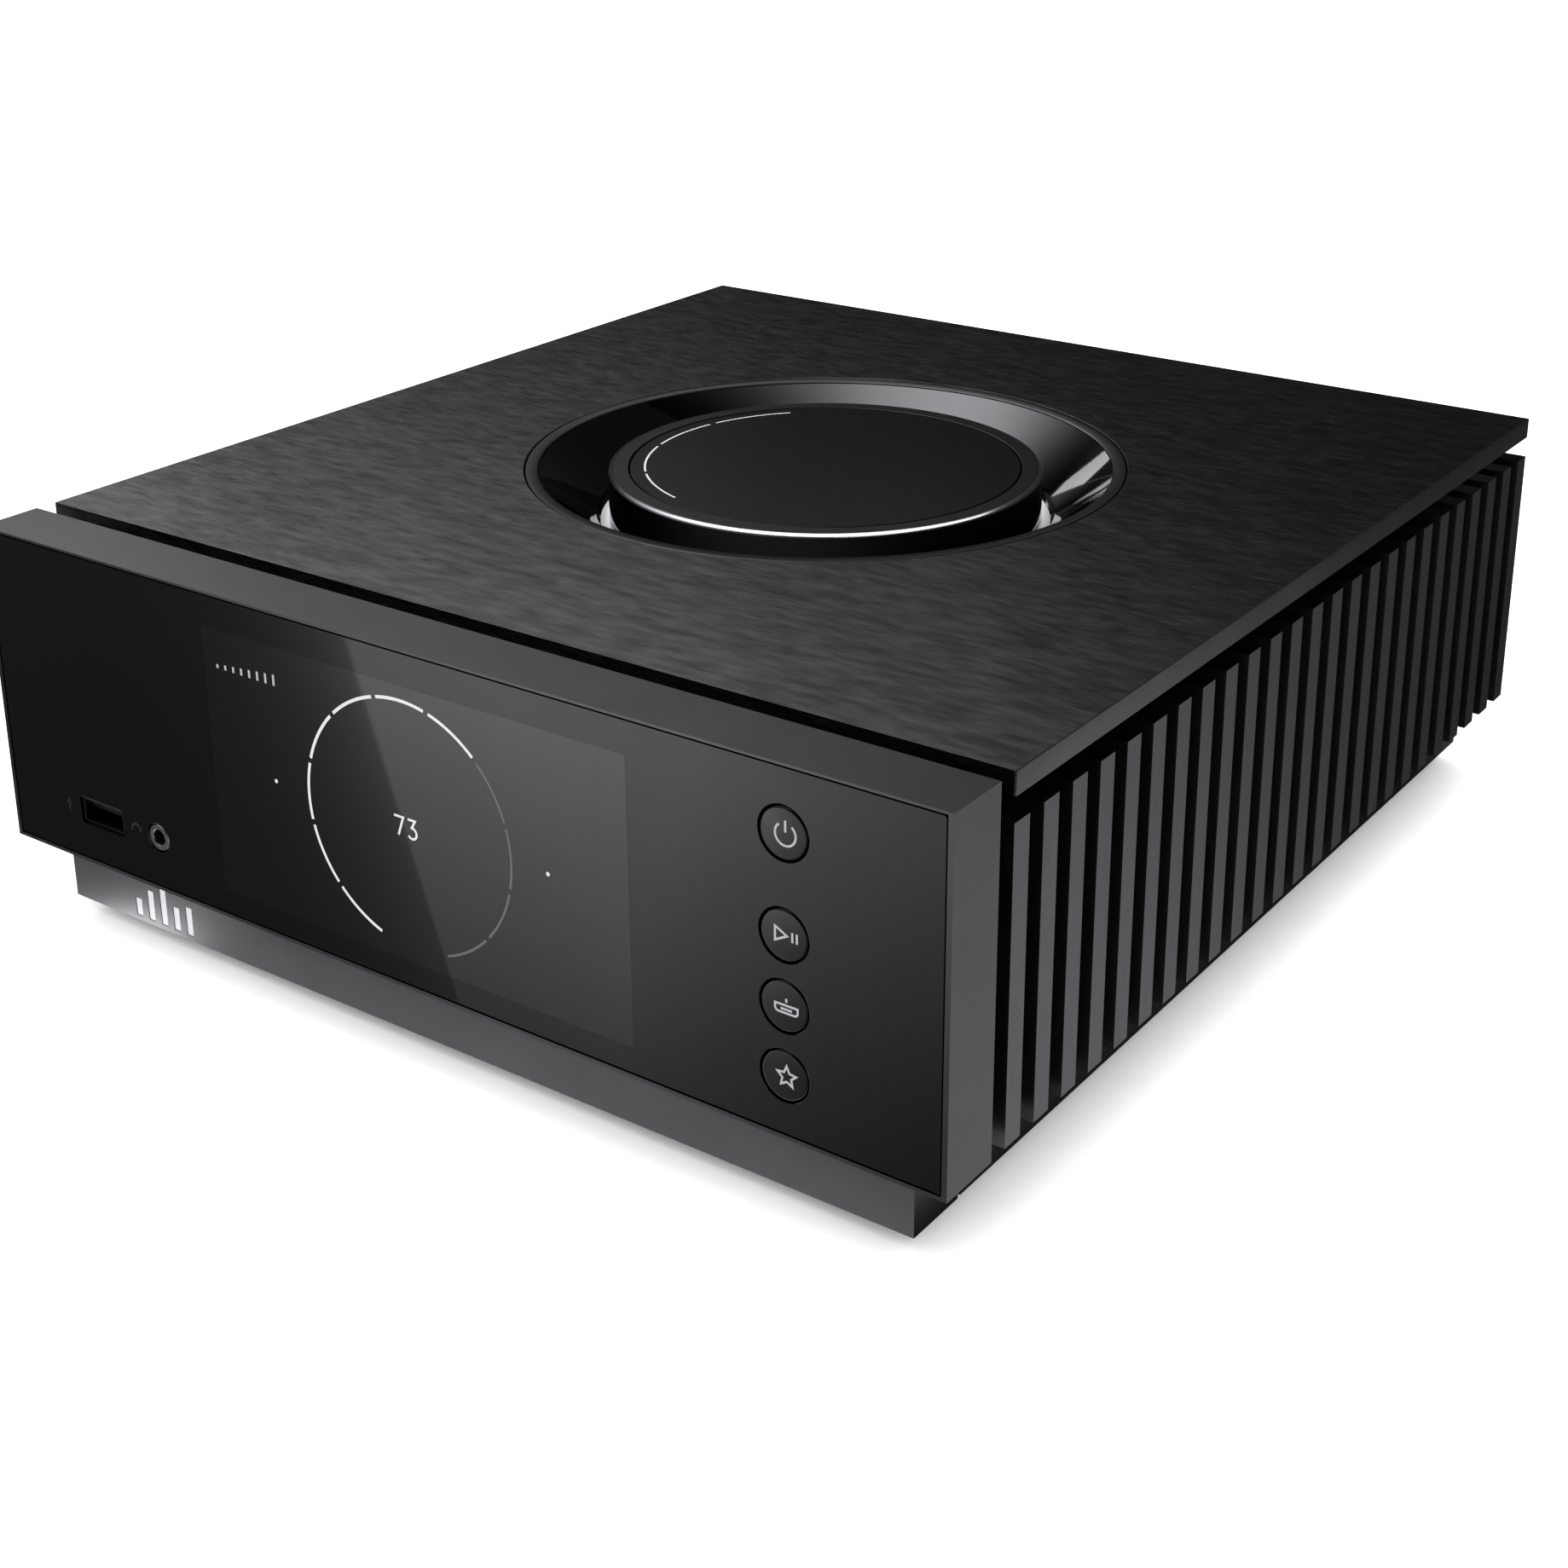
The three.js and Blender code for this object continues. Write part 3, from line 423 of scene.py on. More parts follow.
def add_stroke(bm, points, width, face, raised, closed=False):
    """A flat printed line of even width on a plane facing -Y. Points are (x, z) in metres."""
    count = len(points)
    sides = []
    for i, (x, z) in enumerate(points):
        before = points[i - 1] if (closed or i > 0) else None
        after = points[(i + 1) % count] if (closed or i < count - 1) else None
        here = Vector((x, z))
        into = (here - Vector(before)).normalized() if before else (Vector(after) - here).normalized()
        out = (Vector(after) - here).normalized() if after else into
        mean = (into + out).normalized()
        normal = Vector((-mean.y, mean.x))
        reach = width / 2 / max(0.35, normal.dot(Vector((-into.y, into.x))))
        sides.append((here + normal * reach, here - normal * reach))
    layers = []
    for y in (face - raised, face + 0.01 * MM):
        layers.append([[bm.verts.new((p.x, y, p.y)) for p in pair] for pair in sides])
    front, back = layers
    spans = count if closed else count - 1
    for i in range(spans):
        j = (i + 1) % count
        bm.faces.new((front[i][0], front[i][1], front[j][1], front[j][0]))
        bm.faces.new((back[i][0], back[j][0], back[j][1], back[i][1]))
        bm.faces.new((front[i][0], front[j][0], back[j][0], back[i][0]))
        bm.faces.new((front[i][1], back[i][1], back[j][1], front[j][1]))
    if not closed:
        for i in (0, count - 1):
            bm.faces.new((front[i][0], back[i][0], back[i][1], front[i][1]))


def arc_points(x, z, radius, start, end, step=2.0):
    count = max(2, int(abs(end - start) / step) + 1)
    turns = [start + (end - start) * i / (count - 1) for i in range(count)]
    return [polar(x, z, radius, radians(turn)) for turn in turns]


def strokes(name, place, lines, width, face, material, body="case"):
    """One piece made of printed lines. Each line is (points, closed), in mm about place."""
    bm = bmesh.new()
    for points, closed in lines:
        add_stroke(bm, about(*place, points), width * MM, face, PRINT_RAISED, closed)
    piece(name, bm, material, body=body)


# ---- Camera ----

CAMERA_PLACE = (0.30295, -0.43054, 0.26181)
CAMERA_ANGLES = (35.62, -20.14, -0.35)  # yaw, pitch and roll in degrees
LENS = 55.5
SHIFT = -0.14


def make_camera():
    data = bpy.data.cameras.new("camera")
    data.lens = LENS
    data.sensor_width = 36.0
    data.shift_y = SHIFT
    data.clip_start = 0.01
    camera = add_object("camera", data)
    yaw, pitch, roll = (radians(a) for a in CAMERA_ANGLES)
    forward = Vector((-sin(yaw) * cos(pitch), cos(yaw) * cos(pitch), sin(pitch)))
    right = Vector((cos(yaw), sin(yaw), 0))
    up = right.cross(forward)
    tilted_right = right * cos(roll) + up * sin(roll)
    tilted_up = up * cos(roll) - right * sin(roll)
    turn = Matrix((tilted_right, tilted_up, -forward)).transposed().to_4x4()
    camera.matrix_world = Matrix.Translation(CAMERA_PLACE) @ turn
    bpy.context.scene.camera = camera


# ---- Studio ----

def aimed_light(name, data, direction, receivers):
    light = add_object(name, data)
    light.rotation_mode = "QUATERNION"
    light.rotation_quaternion = Vector(direction).to_track_quat("-Z", "Y")
    light.light_linking.receiver_collection = receivers
    return light


def area_light(name, place, target, size, power, receivers):
    data = bpy.data.lights.new(name, "AREA")
    data.shape = "RECTANGLE"
    data.size, data.size_y = size
    data.energy = power
    light = aimed_light(name, data, Vector(target) - Vector(place), receivers)
    light.location = place
    light.visible_camera = False


def sun(name, direction, angle, strength, receivers):
    """Distant light shining along direction, softened by its angle in degrees."""
    data = bpy.data.lights.new(name, "SUN")
    data.energy = strength
    data.angle = radians(angle)
    aimed_light(name, data, direction, receivers)


def light_set(name, names, shut_out=False):
    """The pieces that a light reaches, or with shut_out the only ones that it doesn't reach."""
    chosen = bpy.data.collections.new(name)
    for item in names:
        chosen.objects.link(bpy.data.objects[item])
    if shut_out:
        for member in chosen.collection_objects:
            member.light_linking.link_state = "EXCLUDE"
    return chosen


def make_floor():
    bm = bmesh.new()
    bmesh.ops.create_grid(bm, x_segments=2, y_segments=2, size=6)
    mesh = mesh_from("floor", bm)
    floor = add_object("floor", mesh)
    paint = surface("floor_paint", (0.87, 0.87, 0.87), (0.89, 0.89, 0.89), (0.8, 0.9), relief=0.0)
    mesh.materials.append(paint)
    floor.visible_glossy = False
    floor.visible_diffuse = False


def make_world():
    """White to the camera, and nearly dark to everything else: the lamps do the lighting."""
    world = bpy.data.worlds.new("studio")
    world.use_nodes = True
    tree = world.node_tree
    nodes, links = tree.nodes, tree.links
    background = set_inputs(nodes["Background"], Color=(1, 1, 1, 1), Strength=0.02)
    seen = add_node(tree, "Background", Color=(1, 1, 1, 1), Strength=1.0)
    path = add_node(tree, "LightPath")
    mix = add_node(tree, "MixShader")
    links.new(path.outputs["Is Camera Ray"], mix.inputs["Fac"])
    links.new(background.outputs[0], mix.inputs[1])
    links.new(seen.outputs[0], mix.inputs[2])
    links.new(mix.outputs[0], nodes["World Output"].inputs["Surface"])
    bpy.context.scene.world = world
    bpy.context.scene.view_settings.view_transform = "Standard"


def glow_material(name):
    """Shines as brightly as the mesh's own colours say."""
    material = bpy.data.materials.new(name)
    material.use_nodes = True
    nodes, links = material.node_tree.nodes, material.node_tree.links
    nodes.clear()
    colour = nodes.new("ShaderNodeAttribute")
    colour.attribute_name = "glow"
    emission = nodes.new("ShaderNodeEmission")
    output = nodes.new("ShaderNodeOutputMaterial")
    links.new(colour.outputs["Color"], emission.inputs["Color"])
    links.new(emission.outputs[0], output.inputs["Surface"])
    material.cycles.emission_sampling = "NONE"
    return material


def glow_card(name, place, u_range, v_range, glow, steps=60):
    """A card that shows only in reflections. place(u, v) is a point and glow(u, v) its brightness."""
    bm = bmesh.new()
    layer = bm.verts.layers.float_color.new("glow")
    rows = []
    for i in range(steps + 1):
        row = []
        for j in range(steps + 1):
            u = u_range[0] + (u_range[1] - u_range[0]) * i / steps
            v = v_range[0] + (v_range[1] - v_range[0]) * j / steps
            vert = bm.verts.new(place(u, v))
            level = glow(u, v)
            vert[layer] = (level, level, level * 1.02, 1)
            row.append(vert)
        rows.append(row)
    bridge(bm, rows, closed=False)
    mesh = bpy.data.meshes.new(name)
    bm.to_mesh(mesh)
    bm.free()
    card = add_object(name, mesh)
    mesh.materials.append(GLOW)
    card.visible_camera = False
    card.visible_diffuse = False
    card.visible_shadow = False
    card.visible_transmission = False


GLOW = glow_material("reflected_studio")
CARD_LEVEL = -2 * MM
STRIP_END = -150 * MM
TOP_GLOW = 1.7
MARK_PATCH = (-97 * MM, -132 * MM)
MARK_PATCH_SIZE = (14 * MM, 4.5 * MM)


# The numbers in these functions were fitted to the grey levels of the object's reflections.

def edge_x(y):
    """Where the bright half of the studio floor begins, as the front glass mirrors it."""
    return 0.1852 + 1.2586 * y


def front_right_glow(s, y):
    """Brightness of the reflected floor right of the edge: s is metres past it."""
    depth = (GLASS_FACE - y) / MM
    peak = min(0.30 + 0.0092 * depth, 1.7)
    start = 25 + 0.65 * depth
    width = 75 + 0.6 * max(0.0, depth - 50)
    rise = 0.85 + 0.15 * min(1.0, s / MM / 60)
    fall = exp(-max(0.0, s / MM - start) / width)
    return peak * rise * max(fall, 0.12)


def front_left_glow(s, y):
    depth = min((GLASS_FACE - y) / MM, 260)
    base = 0.08 + 0.00024 * depth
    return base + (0.12 + 0.0030 * depth) * exp(s / MM / 25)


def side_glow(x, y):
    """The reflected floor beside the case darkens towards the rear."""
    along = y / MM - 1.45 * (x / MM - 150)
    return 0.06 + 0.66 / (1 + exp(max(-8.0, min(8.0, (along - 34) / 38))))


def strip_glow(x, y):
    """The floor just before the plinth, with the bright patch that the plinth's mark throws."""
    (mark_x, mark_y), (half_wide, half_deep) = MARK_PATCH, MARK_PATCH_SIZE
    patch = ((x - mark_x) / half_wide) ** 2 + ((y - mark_y) / half_deep) ** 2
    return 0.93 + 7.0 * exp(-patch)


def make_reflected_floor():
    def sloped(s, y):
        return edge_x(y) + s, y, CARD_LEVEL

    def straight(x, y):
        return x, y, CARD_LEVEL

    near, far = STRIP_END, -0.9
    glow_card("reflected_floor_right", sloped, (0, 0.9), (near, far), front_right_glow, 120)
    glow_card("reflected_floor_left", sloped, (-0.9, 0), (near, far), front_left_glow, 120)
    glow_card("reflected_floor_strip", straight, (-0.5, 0.125), (STRIP_END, -0.127), strip_glow, 160)
    glow_card("reflected_floor_side", straight, (0.125, 0.9), (STRIP_END, 0.9), side_glow, 120)
    glow_card("reflected_floor_far_side", straight, (-0.9, -0.125), (STRIP_END, 0.9), lambda x, y: 0.5, 8)
    glow_card("reflected_floor_rear", straight, (-0.125, 0.125), (0.134, 0.9), lambda x, y: 0.5, 8)


def make_top_glow():
    """A soft round glow on the studio's ceiling, left of the object, which the dial mirrors."""
    azimuth, elevation = radians(-155), radians(62)
    towards = Vector((cos(elevation) * cos(azimuth), cos(elevation) * sin(azimuth), sin(elevation)))
    across = towards.cross(Vector((0, 0, 1))).normalized()
    other = towards.cross(across)

    def place(angle, turn):
        around = across * cos(turn) + other * sin(turn)
        return DIAL + (towards * cos(angle) + around * sin(angle)) * 1.3

    def glow(angle, _):
        return TOP_GLOW * exp(-(degrees(angle) / 31) ** 2.6)

    glow_card("reflected_ceiling_glow", place, (0, radians(62)), (0, TURN), glow, 64)


LID_SOFTBOXES = (((-1.1, 0.5, 0.25), 0.044), ((-1.1, 0.8, 0.25), 0.036), ((-0.8, 0.3, 0.6), 0.368),
                 ((-0.8, 0.5, 0.6), 0.118), ((-0.8, 0.8, 0.6), 0.036), ((-0.5, 0.1, 0.25), 0.02),
                 ((-0.5, 0.3, 0.4), 0.01), ((-0.5, 0.3, 0.6), 0.04), ((-0.5, 0.5, 0.6), 0.078),
                 ((-0.25, 0.1, 0.4), 0.03), ((-0.25, 0.3, 0.4), 0.032), ((-0.25, 0.5, 0.6), 0.068),
                 ((0, 0.1, 0.25), 0.01))


def small_softboxes():
    """Many weak lights, which together give the lid its uneven sheen."""
    reach = light_set("lid_lights_reach", ["dial_well_wall", "volume_ring_side", "volume_ring_edge",
                                           "left_heatsink", "right_heatsink"], shut_out=True)
    for i, (place, power) in enumerate(LID_SOFTBOXES):
        area_light(f"lid_softbox_{i + 1}", place, (0, 0, 0.06), (0.25, 0.25), power, reach)


def dial_lights():
    wall_only = light_set("dial_only", ["dial_well_wall"])
    area_light("dial_strip", (-1.62, 1.1, 0.56), DIAL, (0.34, 0.6), 0.92, wall_only)
    foot_only = light_set("well_foot_only", ["dial_well_foot"])
    area_light("well_foot_light", DIAL + Vector((0, 0, 0.5)), DIAL, (0.5, 0.5), 14, foot_only)
    edge_only = light_set("ring_edge_only", ["volume_ring_edge"])
    area_light("ring_edge_light", DIAL + Vector((0, 0, 1)), DIAL, (2, 2), 18, edge_only)


def lid_lights():
    lid_only = light_set("lid_only", ["top_plate_skin"])
    area_light("lid_rim_softbox", (0.43, 0.67, 0.42), (0.12, 0, 0.09), (0.5, 0.5), 0.5, lid_only)
    area_light("lid_left_softbox", (-0.85, -0.95, 0.55), (0, 0, 0.09), (0.9, 0.5), 1.4, lid_only)
    area_light("lid_front_softbox", (0.5, -1.2, 0.55), (0, 0, 0.09), (0.9, 0.5), 1.6, lid_only)
    area_light("lid_overhead_softbox", (-0.36, -0.1, 1.05), (0, -0.11, 0.09), (0.5, 0.9), 1.9, lid_only)


def rear_and_left_lights():
    """Large softboxes for the sides that the photo doesn't show. They miss the sides that it does."""
    fins_only = light_set("right_heatsink_only", ["right_heatsink"])
    area_light("right_heatsink_rear_light", (0, 1, 0.04), (0.115, 0.13, 0.05), (0.6, 0.08), 1.3, fins_only)
    missed = ["floor", "right_heatsink", "top_plate_skin", "front_bezel", "plinth_front", "dial_well_lip",
              "dial_well_wall", "dial_well_foot", "volume_ring_side", "volume_ring_edge",
              "volume_ring_top", "dial_disc_face"]
    around = light_set("rear_and_left", missed, shut_out=True)
    area_light("rear_softbox", (-0.1, 1.3, 0.6), (0, 0.13, 0.05), (1.3, 0.9), 45, around)
    area_light("left_softbox", (-1.3, 0.1, 0.5), (-0.13, 0, 0.05), (1.3, 0.9), 30, around)


def make_studio():
    make_floor()
    make_world()
    sun("floor_light", (0.1, 0.5, -1), 176, 8.0, light_set("floor_only", ["floor"]))
    make_reflected_floor()
    make_top_glow()
    small_softboxes()
    dial_lights()
    lid_lights()
    rear_and_left_lights()


# ---- Front panel ----

BUTTON_RADIUS = 5.05
BUTTON_FLANGE = 5.95
ICON_WIDTH = 0.42
ICON_SHIFT = 0.45 * MM
PRINT_FACE = GLASS_FACE - 0.02 * MM


def front_sockets():
    """(x, z) of the front USB socket and of the headphone jack's nose."""
    nose_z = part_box("headphone_jack")[0].z + 2.95 * MM
    return axis_place("front_usb_socket"), (middle("headphone_jack").x, nose_z)


def glass_pane():
    (usb_x, usb_z), (jack_x, jack_z) = front_sockets()
    outlines = [rounded_rectangle(GLASS_LOW.x, GLASS_HIGH.x, GLASS_LOW.z, GLASS_HIGH.z, 0.6 * MM),
                centred(usb_x, usb_z, 7.1, 3.15, 0.7, clockwise=True),
                circle(jack_x, jack_z, 3.3 * MM, 64, clockwise=True)]
    for node in BUTTON_NODES.values():
        outlines.append(circle(*axis_place(node), (BUTTON_RADIUS + 0.3) * MM, 96, clockwise=True))
    plate_piece("front_glass_pane", outlines, GLASS_LOW.y, GLASS_HIGH.y, 0.12 * MM, GLASS,
                ["front_glass"])


def display_window():
    """The screen's visible area, which shows through the glass as a slightly paler field."""
    x, z = axis_place("display_module")
    outline = centred(x + 0.2 * MM, z - 0.3 * MM, 54.5, 29.6, 0.4)
    plate_piece("display_window", [outline], GLASS_FACE - 0.02 * MM, GLASS_FACE + 0.02 * MM, 0.004 * MM,
                SCREEN_GLASS)


def display_arc():
    """Eleven arcs round the level number, clockwise from the lower left; the last four are dim."""
    place = axis_place("display_module")
    step, gap, start, lit = 29.45, 2.6, -108.0, 7
    arcs = []
    for i in range(11):
        begin = start - i * step - gap / 2
        arcs.append((arc_points(-0.1, -0.4, 26.6, begin, begin - step + gap), False))
    strokes("display_arc_lit", place, arcs[:lit], 0.66, PRINT_FACE, BRIGHT)
    strokes("display_arc_dim", place, arcs[lit:], 0.5, PRINT_FACE, DIM)


def display_number():
    """The level, 73, in plain round strokes."""
    x, z, half, bowl = 1.15, -0.5, 2.0, 1.18
    seven = [(-3.4, z + half), (-1.0, z + half), (-2.5, z - half)]
    three = [(x - 0.95, z + half), (x + 0.95, z + half), (x, z + 0.36)]
    three += arc_points(x, z - half + bowl, bowl, 80, -145, 15)
    strokes("display_number", axis_place("display_module"), [(seven, False), (three, False)], 0.48,
            PRINT_FACE, BRIGHT)


def display_marks():
    """Two dots beside the circle and a small generic level mark in the upper left corner."""
    place = axis_place("display_module")
    for hand, x, z in (("left", -36.0, -0.2), ("right", 35.5, 0.2)):
        strokes("display_dot_" + hand, place, [(circle(x, z, 0.22, 24), True)], 0.42, PRINT_FACE, BRIGHT)
    ticks = []
    for i in range(8):
        x, foot = -50.5 + 2.3 * i, 20.9
        ticks.append(([(x, foot), (x, foot + 0.8 + 0.22 * i)], False))
    strokes("display_level_mark", place, ticks, 0.55, PRINT_FACE, ICON)


def power_icon():
    return [(arc_points(0, -0.1, 2.15, 52, -232, 6), False), ([(0, 0.3), (0, 2.5)], False)]


def play_icon():
    triangle = [(-2.3, 1.35), (0.25, 0), (-2.3, -1.35)]
    return [(triangle, True)] + [([(x, -0.95), (x, 0.95)], False) for x in (1.35, 2.3)]


def input_icon():
    wide, top, bottom, corner = 2.4, 0.25, -1.25, 0.7
    tray = [(wide, top)] + arc_points(wide - corner, bottom + corner, corner, 0, -90, 15)
    tray += arc_points(corner - wide, bottom + corner, corner, -90, -180, 15) + [(-wide, top)]
    return [(tray, True), ([(-1.2, -0.55), (1.2, -0.55)], False), ([(0, 0.85), (0, 1.6)], False)]


def star_icon():
    return [([polar(0, -0.1, (2.1, 1.0)[i % 2], radians(90 + 36 * i)) for i in range(10)], True)]


def button_caps():
    icons = {"power": power_icon, "play": play_icon, "input": input_icon, "favourite": star_icon}
    radius, rim = BUTTON_RADIUS, BUTTON_FLANGE
    seat = GLASS_HIGH.y / MM
    for name, node in BUTTON_NODES.items():
        x, z = axis_place(node)
        low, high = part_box(node)
        face, back = low.y / MM, high.y / MM
        profile = [(0, face + 0.02), (radius - 0.5, face + 0.02), (radius - 0.26, face + 0.07),
                   (radius - 0.08, face + 0.22), (radius, face + 0.5), (radius, seat + 0.5),
                   (rim, seat + 0.5), (rim, seat + 1.8), (2, seat + 1.8), (2, back), (0, back)]
        body = name + "_button"
        turned_piece(name + "_cap", profile, x, z, 96, CAP, [node], body)
        strokes(name + "_icon", (x + ICON_SHIFT, z), icons[name](), ICON_WIDTH, low.y + 0.02 * MM, ICON,
                body=body)


def usb_socket(name, facing):
    """A USB type A socket: folded shell, tongue and four contacts under it. It opens towards
    facing, where 1 is +Y."""
    node = name + "_socket"
    low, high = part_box(node)
    mouth, back = (high.y / MM, low.y / MM) if facing > 0 else (low.y / MM, high.y / MM)
    centre = (low + high) / 2
    half_wide, half_high = (high.x - low.x) / 2 / MM, (high.z - low.z) / 2 / MM
    wall = 0.45
    outer = centred(centre.x, centre.z, half_wide, half_high, 0.7)
    inner = centred(centre.x, centre.z, half_wide - wall, half_high - wall, 0.4, clockwise=True)
    plate_piece(name + "_shell", [outer, inner], low.y, high.y, 0.08 * MM, DARK_STEEL,
                [node])
    tongue_z = centre.z + (half_high - wall) / 2 * MM
    bm = bmesh.new()
    end = sorted((back, back + facing * 0.6))
    add_block(bm, centre.x, centre.z, half_wide - 0.3, half_high - 0.3, *end)
    tongue = sorted((mouth - facing * 1.5, back + facing * 0.5))
    add_block(bm, centre.x, tongue_z, half_wide - 1.15, 0.9, *tongue, 0.12)
    piece(name + "_tongue", bm)
    bm = bmesh.new()
    strip = sorted((mouth - facing * 2.4, back + facing * 1.5))
    contact_z = tongue_z - 0.9 * MM
    for i in range(4):
        add_block(bm, centre.x + (i - 1.5) * 2.3 * MM, contact_z, 0.5, 0.06, *strip)
    piece(name + "_contacts", bm, GOLD)


def headphone_jack():
    low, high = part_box("headphone_jack")
    x, z = front_sockets()[1]
    face, body_front, back = low.y / MM, -125.8, high.y / MM
    nose = [(1.8, face + 0.15), (1.95, face), (2.85, face), (3.0, face + 0.15), (3.0, body_front + 0.2),
            (1.8, body_front + 0.2)]
    turned_piece("headphone_jack_nose", nose, x, z, 64, NOSE_METAL, ["headphone_jack"])
    sleeve = [(1.8, body_front + 0.3), (4.0, body_front + 0.3), (4.0, back), (1.8, back - 1.5)]
    bm = bmesh.new()
    add_turned(bm, sleeve, Vector((x, 0, z)), "Y", 48)
    add_box(bm, (low.x, (body_front + 0.6) * MM, low.z), (x - 4.05 * MM, high.y, high.z), 0.2 * MM)
    piece("headphone_jack_body", bm)


def faint_marks():
    """Two barely visible printed marks: a plug left of the USB socket and an arch by the jack."""
    usb, jack = front_sockets()
    arch = [(arc_points(-7.0, 0, 1.35, -10, 190, 10), False)]
    plug = [([(-10.7, -1.6), (-10.7, 1.6)], False), ([(-11.5, 0.7), (-9.9, 0.7)], False)]
    strokes("jack_mark", jack, arch, 0.45, GLASS_FACE, FAINT)
    strokes("usb_mark", usb, plug, 0.35, GLASS_FACE, FAINT)


# ---- Top plate and dial ----

def round_rim(mesh, on_rim, width, segments=6):
    """Rounds the sharp edges whose two ends both pass on_rim."""
    bm = bmesh.new()
    bm.from_mesh(mesh)
    rim = []
    for edge in bm.edges:
        if all(on_rim(v) for v in edge.verts) and len(edge.link_faces) == 2 and edge.calc_face_angle() > 1:
            rim.append(edge)
    top = max(v.co.z for v in bm.verts)
    bmesh.ops.bevel(bm, geom=rim, offset=width, segments=segments, affect="EDGES", profile=0.5)
    for v in bm.verts:
        v.co.z = min(v.co.z, top)
    bm.to_mesh(mesh)
    bm.free()
    mesh.set_sharp_from_angle(angle=radians(30))
    for face in mesh.polygons:
        face.use_smooth = abs(face.normal.z) < 0.999


def top_plate():
    outer = rounded_rectangle(TOP_LOW.x, TOP_HIGH.x, TOP_LOW.y, TOP_HIGH.y, 0.4 * MM)
    hole = circle(DIAL.x, DIAL.y, 69.4 * MM, 256, clockwise=True)
    mesh = plate("top_plate_skin", [outer, hole], TOP_LOW.z, TOP_HIGH.z, 0, axis="Z")
    front = TOP_LOW.y + 1e-6
    round_rim(mesh, lambda v: v.co.z > TOP_FACE - 1e-6 and v.co.y < front, 1.0 * MM)
    round_rim(mesh, lambda v: v.co.z > TOP_FACE - 1e-6 and v.co.y > front, 0.2 * MM, 2)
    skin = piece("top_plate_skin", mesh, BRUSHED, ["top_plate"])
    skin.data.materials.append(LID_SIDE)
    for face in skin.data.polygons:
        if abs(face.normal.z) < 0.5 and abs(face.normal.y) < 0.9:
            face.material_index = 1


def dial_piece(name, profile, material, replaces=(), body="case"):
    mesh = turned(name, profile, Vector((DIAL.x, DIAL.y, 0)), "Z", 192)
    piece(name, mesh, material, replaces, body)


def dial_well():
    """The polished funnel round the dial, and the satin lip that joins it to the top plate."""
    lip = [(66.5, 89.6), (69.1, 89.6), (69.1, 91.75), (68.95, 91.9), (66.5, 91.9), (66.25, 91.75),
           (66.1, 91.6), (66.1, 89.8)]
    dial_piece("dial_well_lip", lip, SATIN_LIP)
    wall = [(20, 76.2), (54.5, 76.2), (64.2, 87.2), (69.0, 87.2), (69.0, 89.5), (65.95, 89.5),
            (66.0, 91.35), (53.9, 80.6), (53.35, 79.85), (52.75, 79.2), (52.3, 78.85), (52.3, 77.9),
            (20, 77.9)]
    foot = [(20, 77.9), (52.25, 77.9), (52.25, 78.8), (51.7, 78.5), (51.1, 78.3), (50.5, 78.2), (20, 78.2)]
    dial_piece("dial_well_foot", foot, BARE_METAL)
    dial_piece("dial_well_wall", wall, CHROME, ["dial_well"])


def volume_ring():
    """The ring's dark polished side, its bright cut edge and its satin top."""
    side = [(46.6, 80.5), (50.0, 80.5), (50.2, 80.7), (50.2, 90.28), (49.6, 90.3), (46.6, 90.3)]
    dial_piece("volume_ring_side", side, RING_SIDE, ["volume_ring"], "dial")
    edge = [(49.2, 90.3), (50.2, 90.3), (50.18, 90.42), (50.08, 90.6), (49.9, 90.8), (49.7, 90.95),
            (49.5, 91.05), (49.2, 91.1)]
    dial_piece("volume_ring_edge", edge, CUT_EDGE, body="dial")
    top = [(45.5, 88.0), (46.5, 88.0), (46.5, 90.35), (49.1, 90.35), (49.15, 91.0), (49.05, 91.1),
           (45.65, 91.1), (45.5, 90.95)]
    dial_piece("volume_ring_top", top, RING_TOP, body="dial")


def dial_disc():
    disc = [(0, 88.3), (45.1, 88.3), (45.1, 90.9), (44.95, 91.05), (0, 91.05)]
    dial_piece("dial_disc_face", disc, DISC_GLASS, ["dial_disc", "dial_light_ring"])


def dial_arcs():
    """Four lit arcs under the disc's edge, at the front left."""
    inner, outer, top, bottom = 41.47, 41.93, 91.08, 91.0
    corners = ((inner, top), (outer, top), (outer, bottom), (inner, bottom))
    bm = bmesh.new()
    for begin, end in ((-108.5, -134.2), (-136.8, -163.7), (-166.3, -193.2), (-195.8, -223.5)):
        columns = []
        for i in range(29):
            angle = radians(begin + (end - begin) * i / 28)
            places = [(*polar(DIAL.x, DIAL.y, r * MM, angle), z * MM) for r, z in corners]
            columns.append([bm.verts.new(place) for place in places])
        bridge(bm, columns)
        bm.faces.new(columns[0])
        bm.faces.new(columns[-1][::-1])
    piece("dial_light_arcs", bm, ARC)


# ---- Case ----

DOWNWARD = Vector((0, 0, -1))
BACKWARD = Vector((0, 1, 0))
SCREW_SIDES = 36


def case_edges():
    widths = {"front_bezel": 0.35, "plinth_front": 0.3, "left_heatsink": 0.25, "right_heatsink": 0.25,
              "base_tray": 0.2, "plinth_light_guide": 0.1}
    for node, width in widths.items():
        soften(node, width)


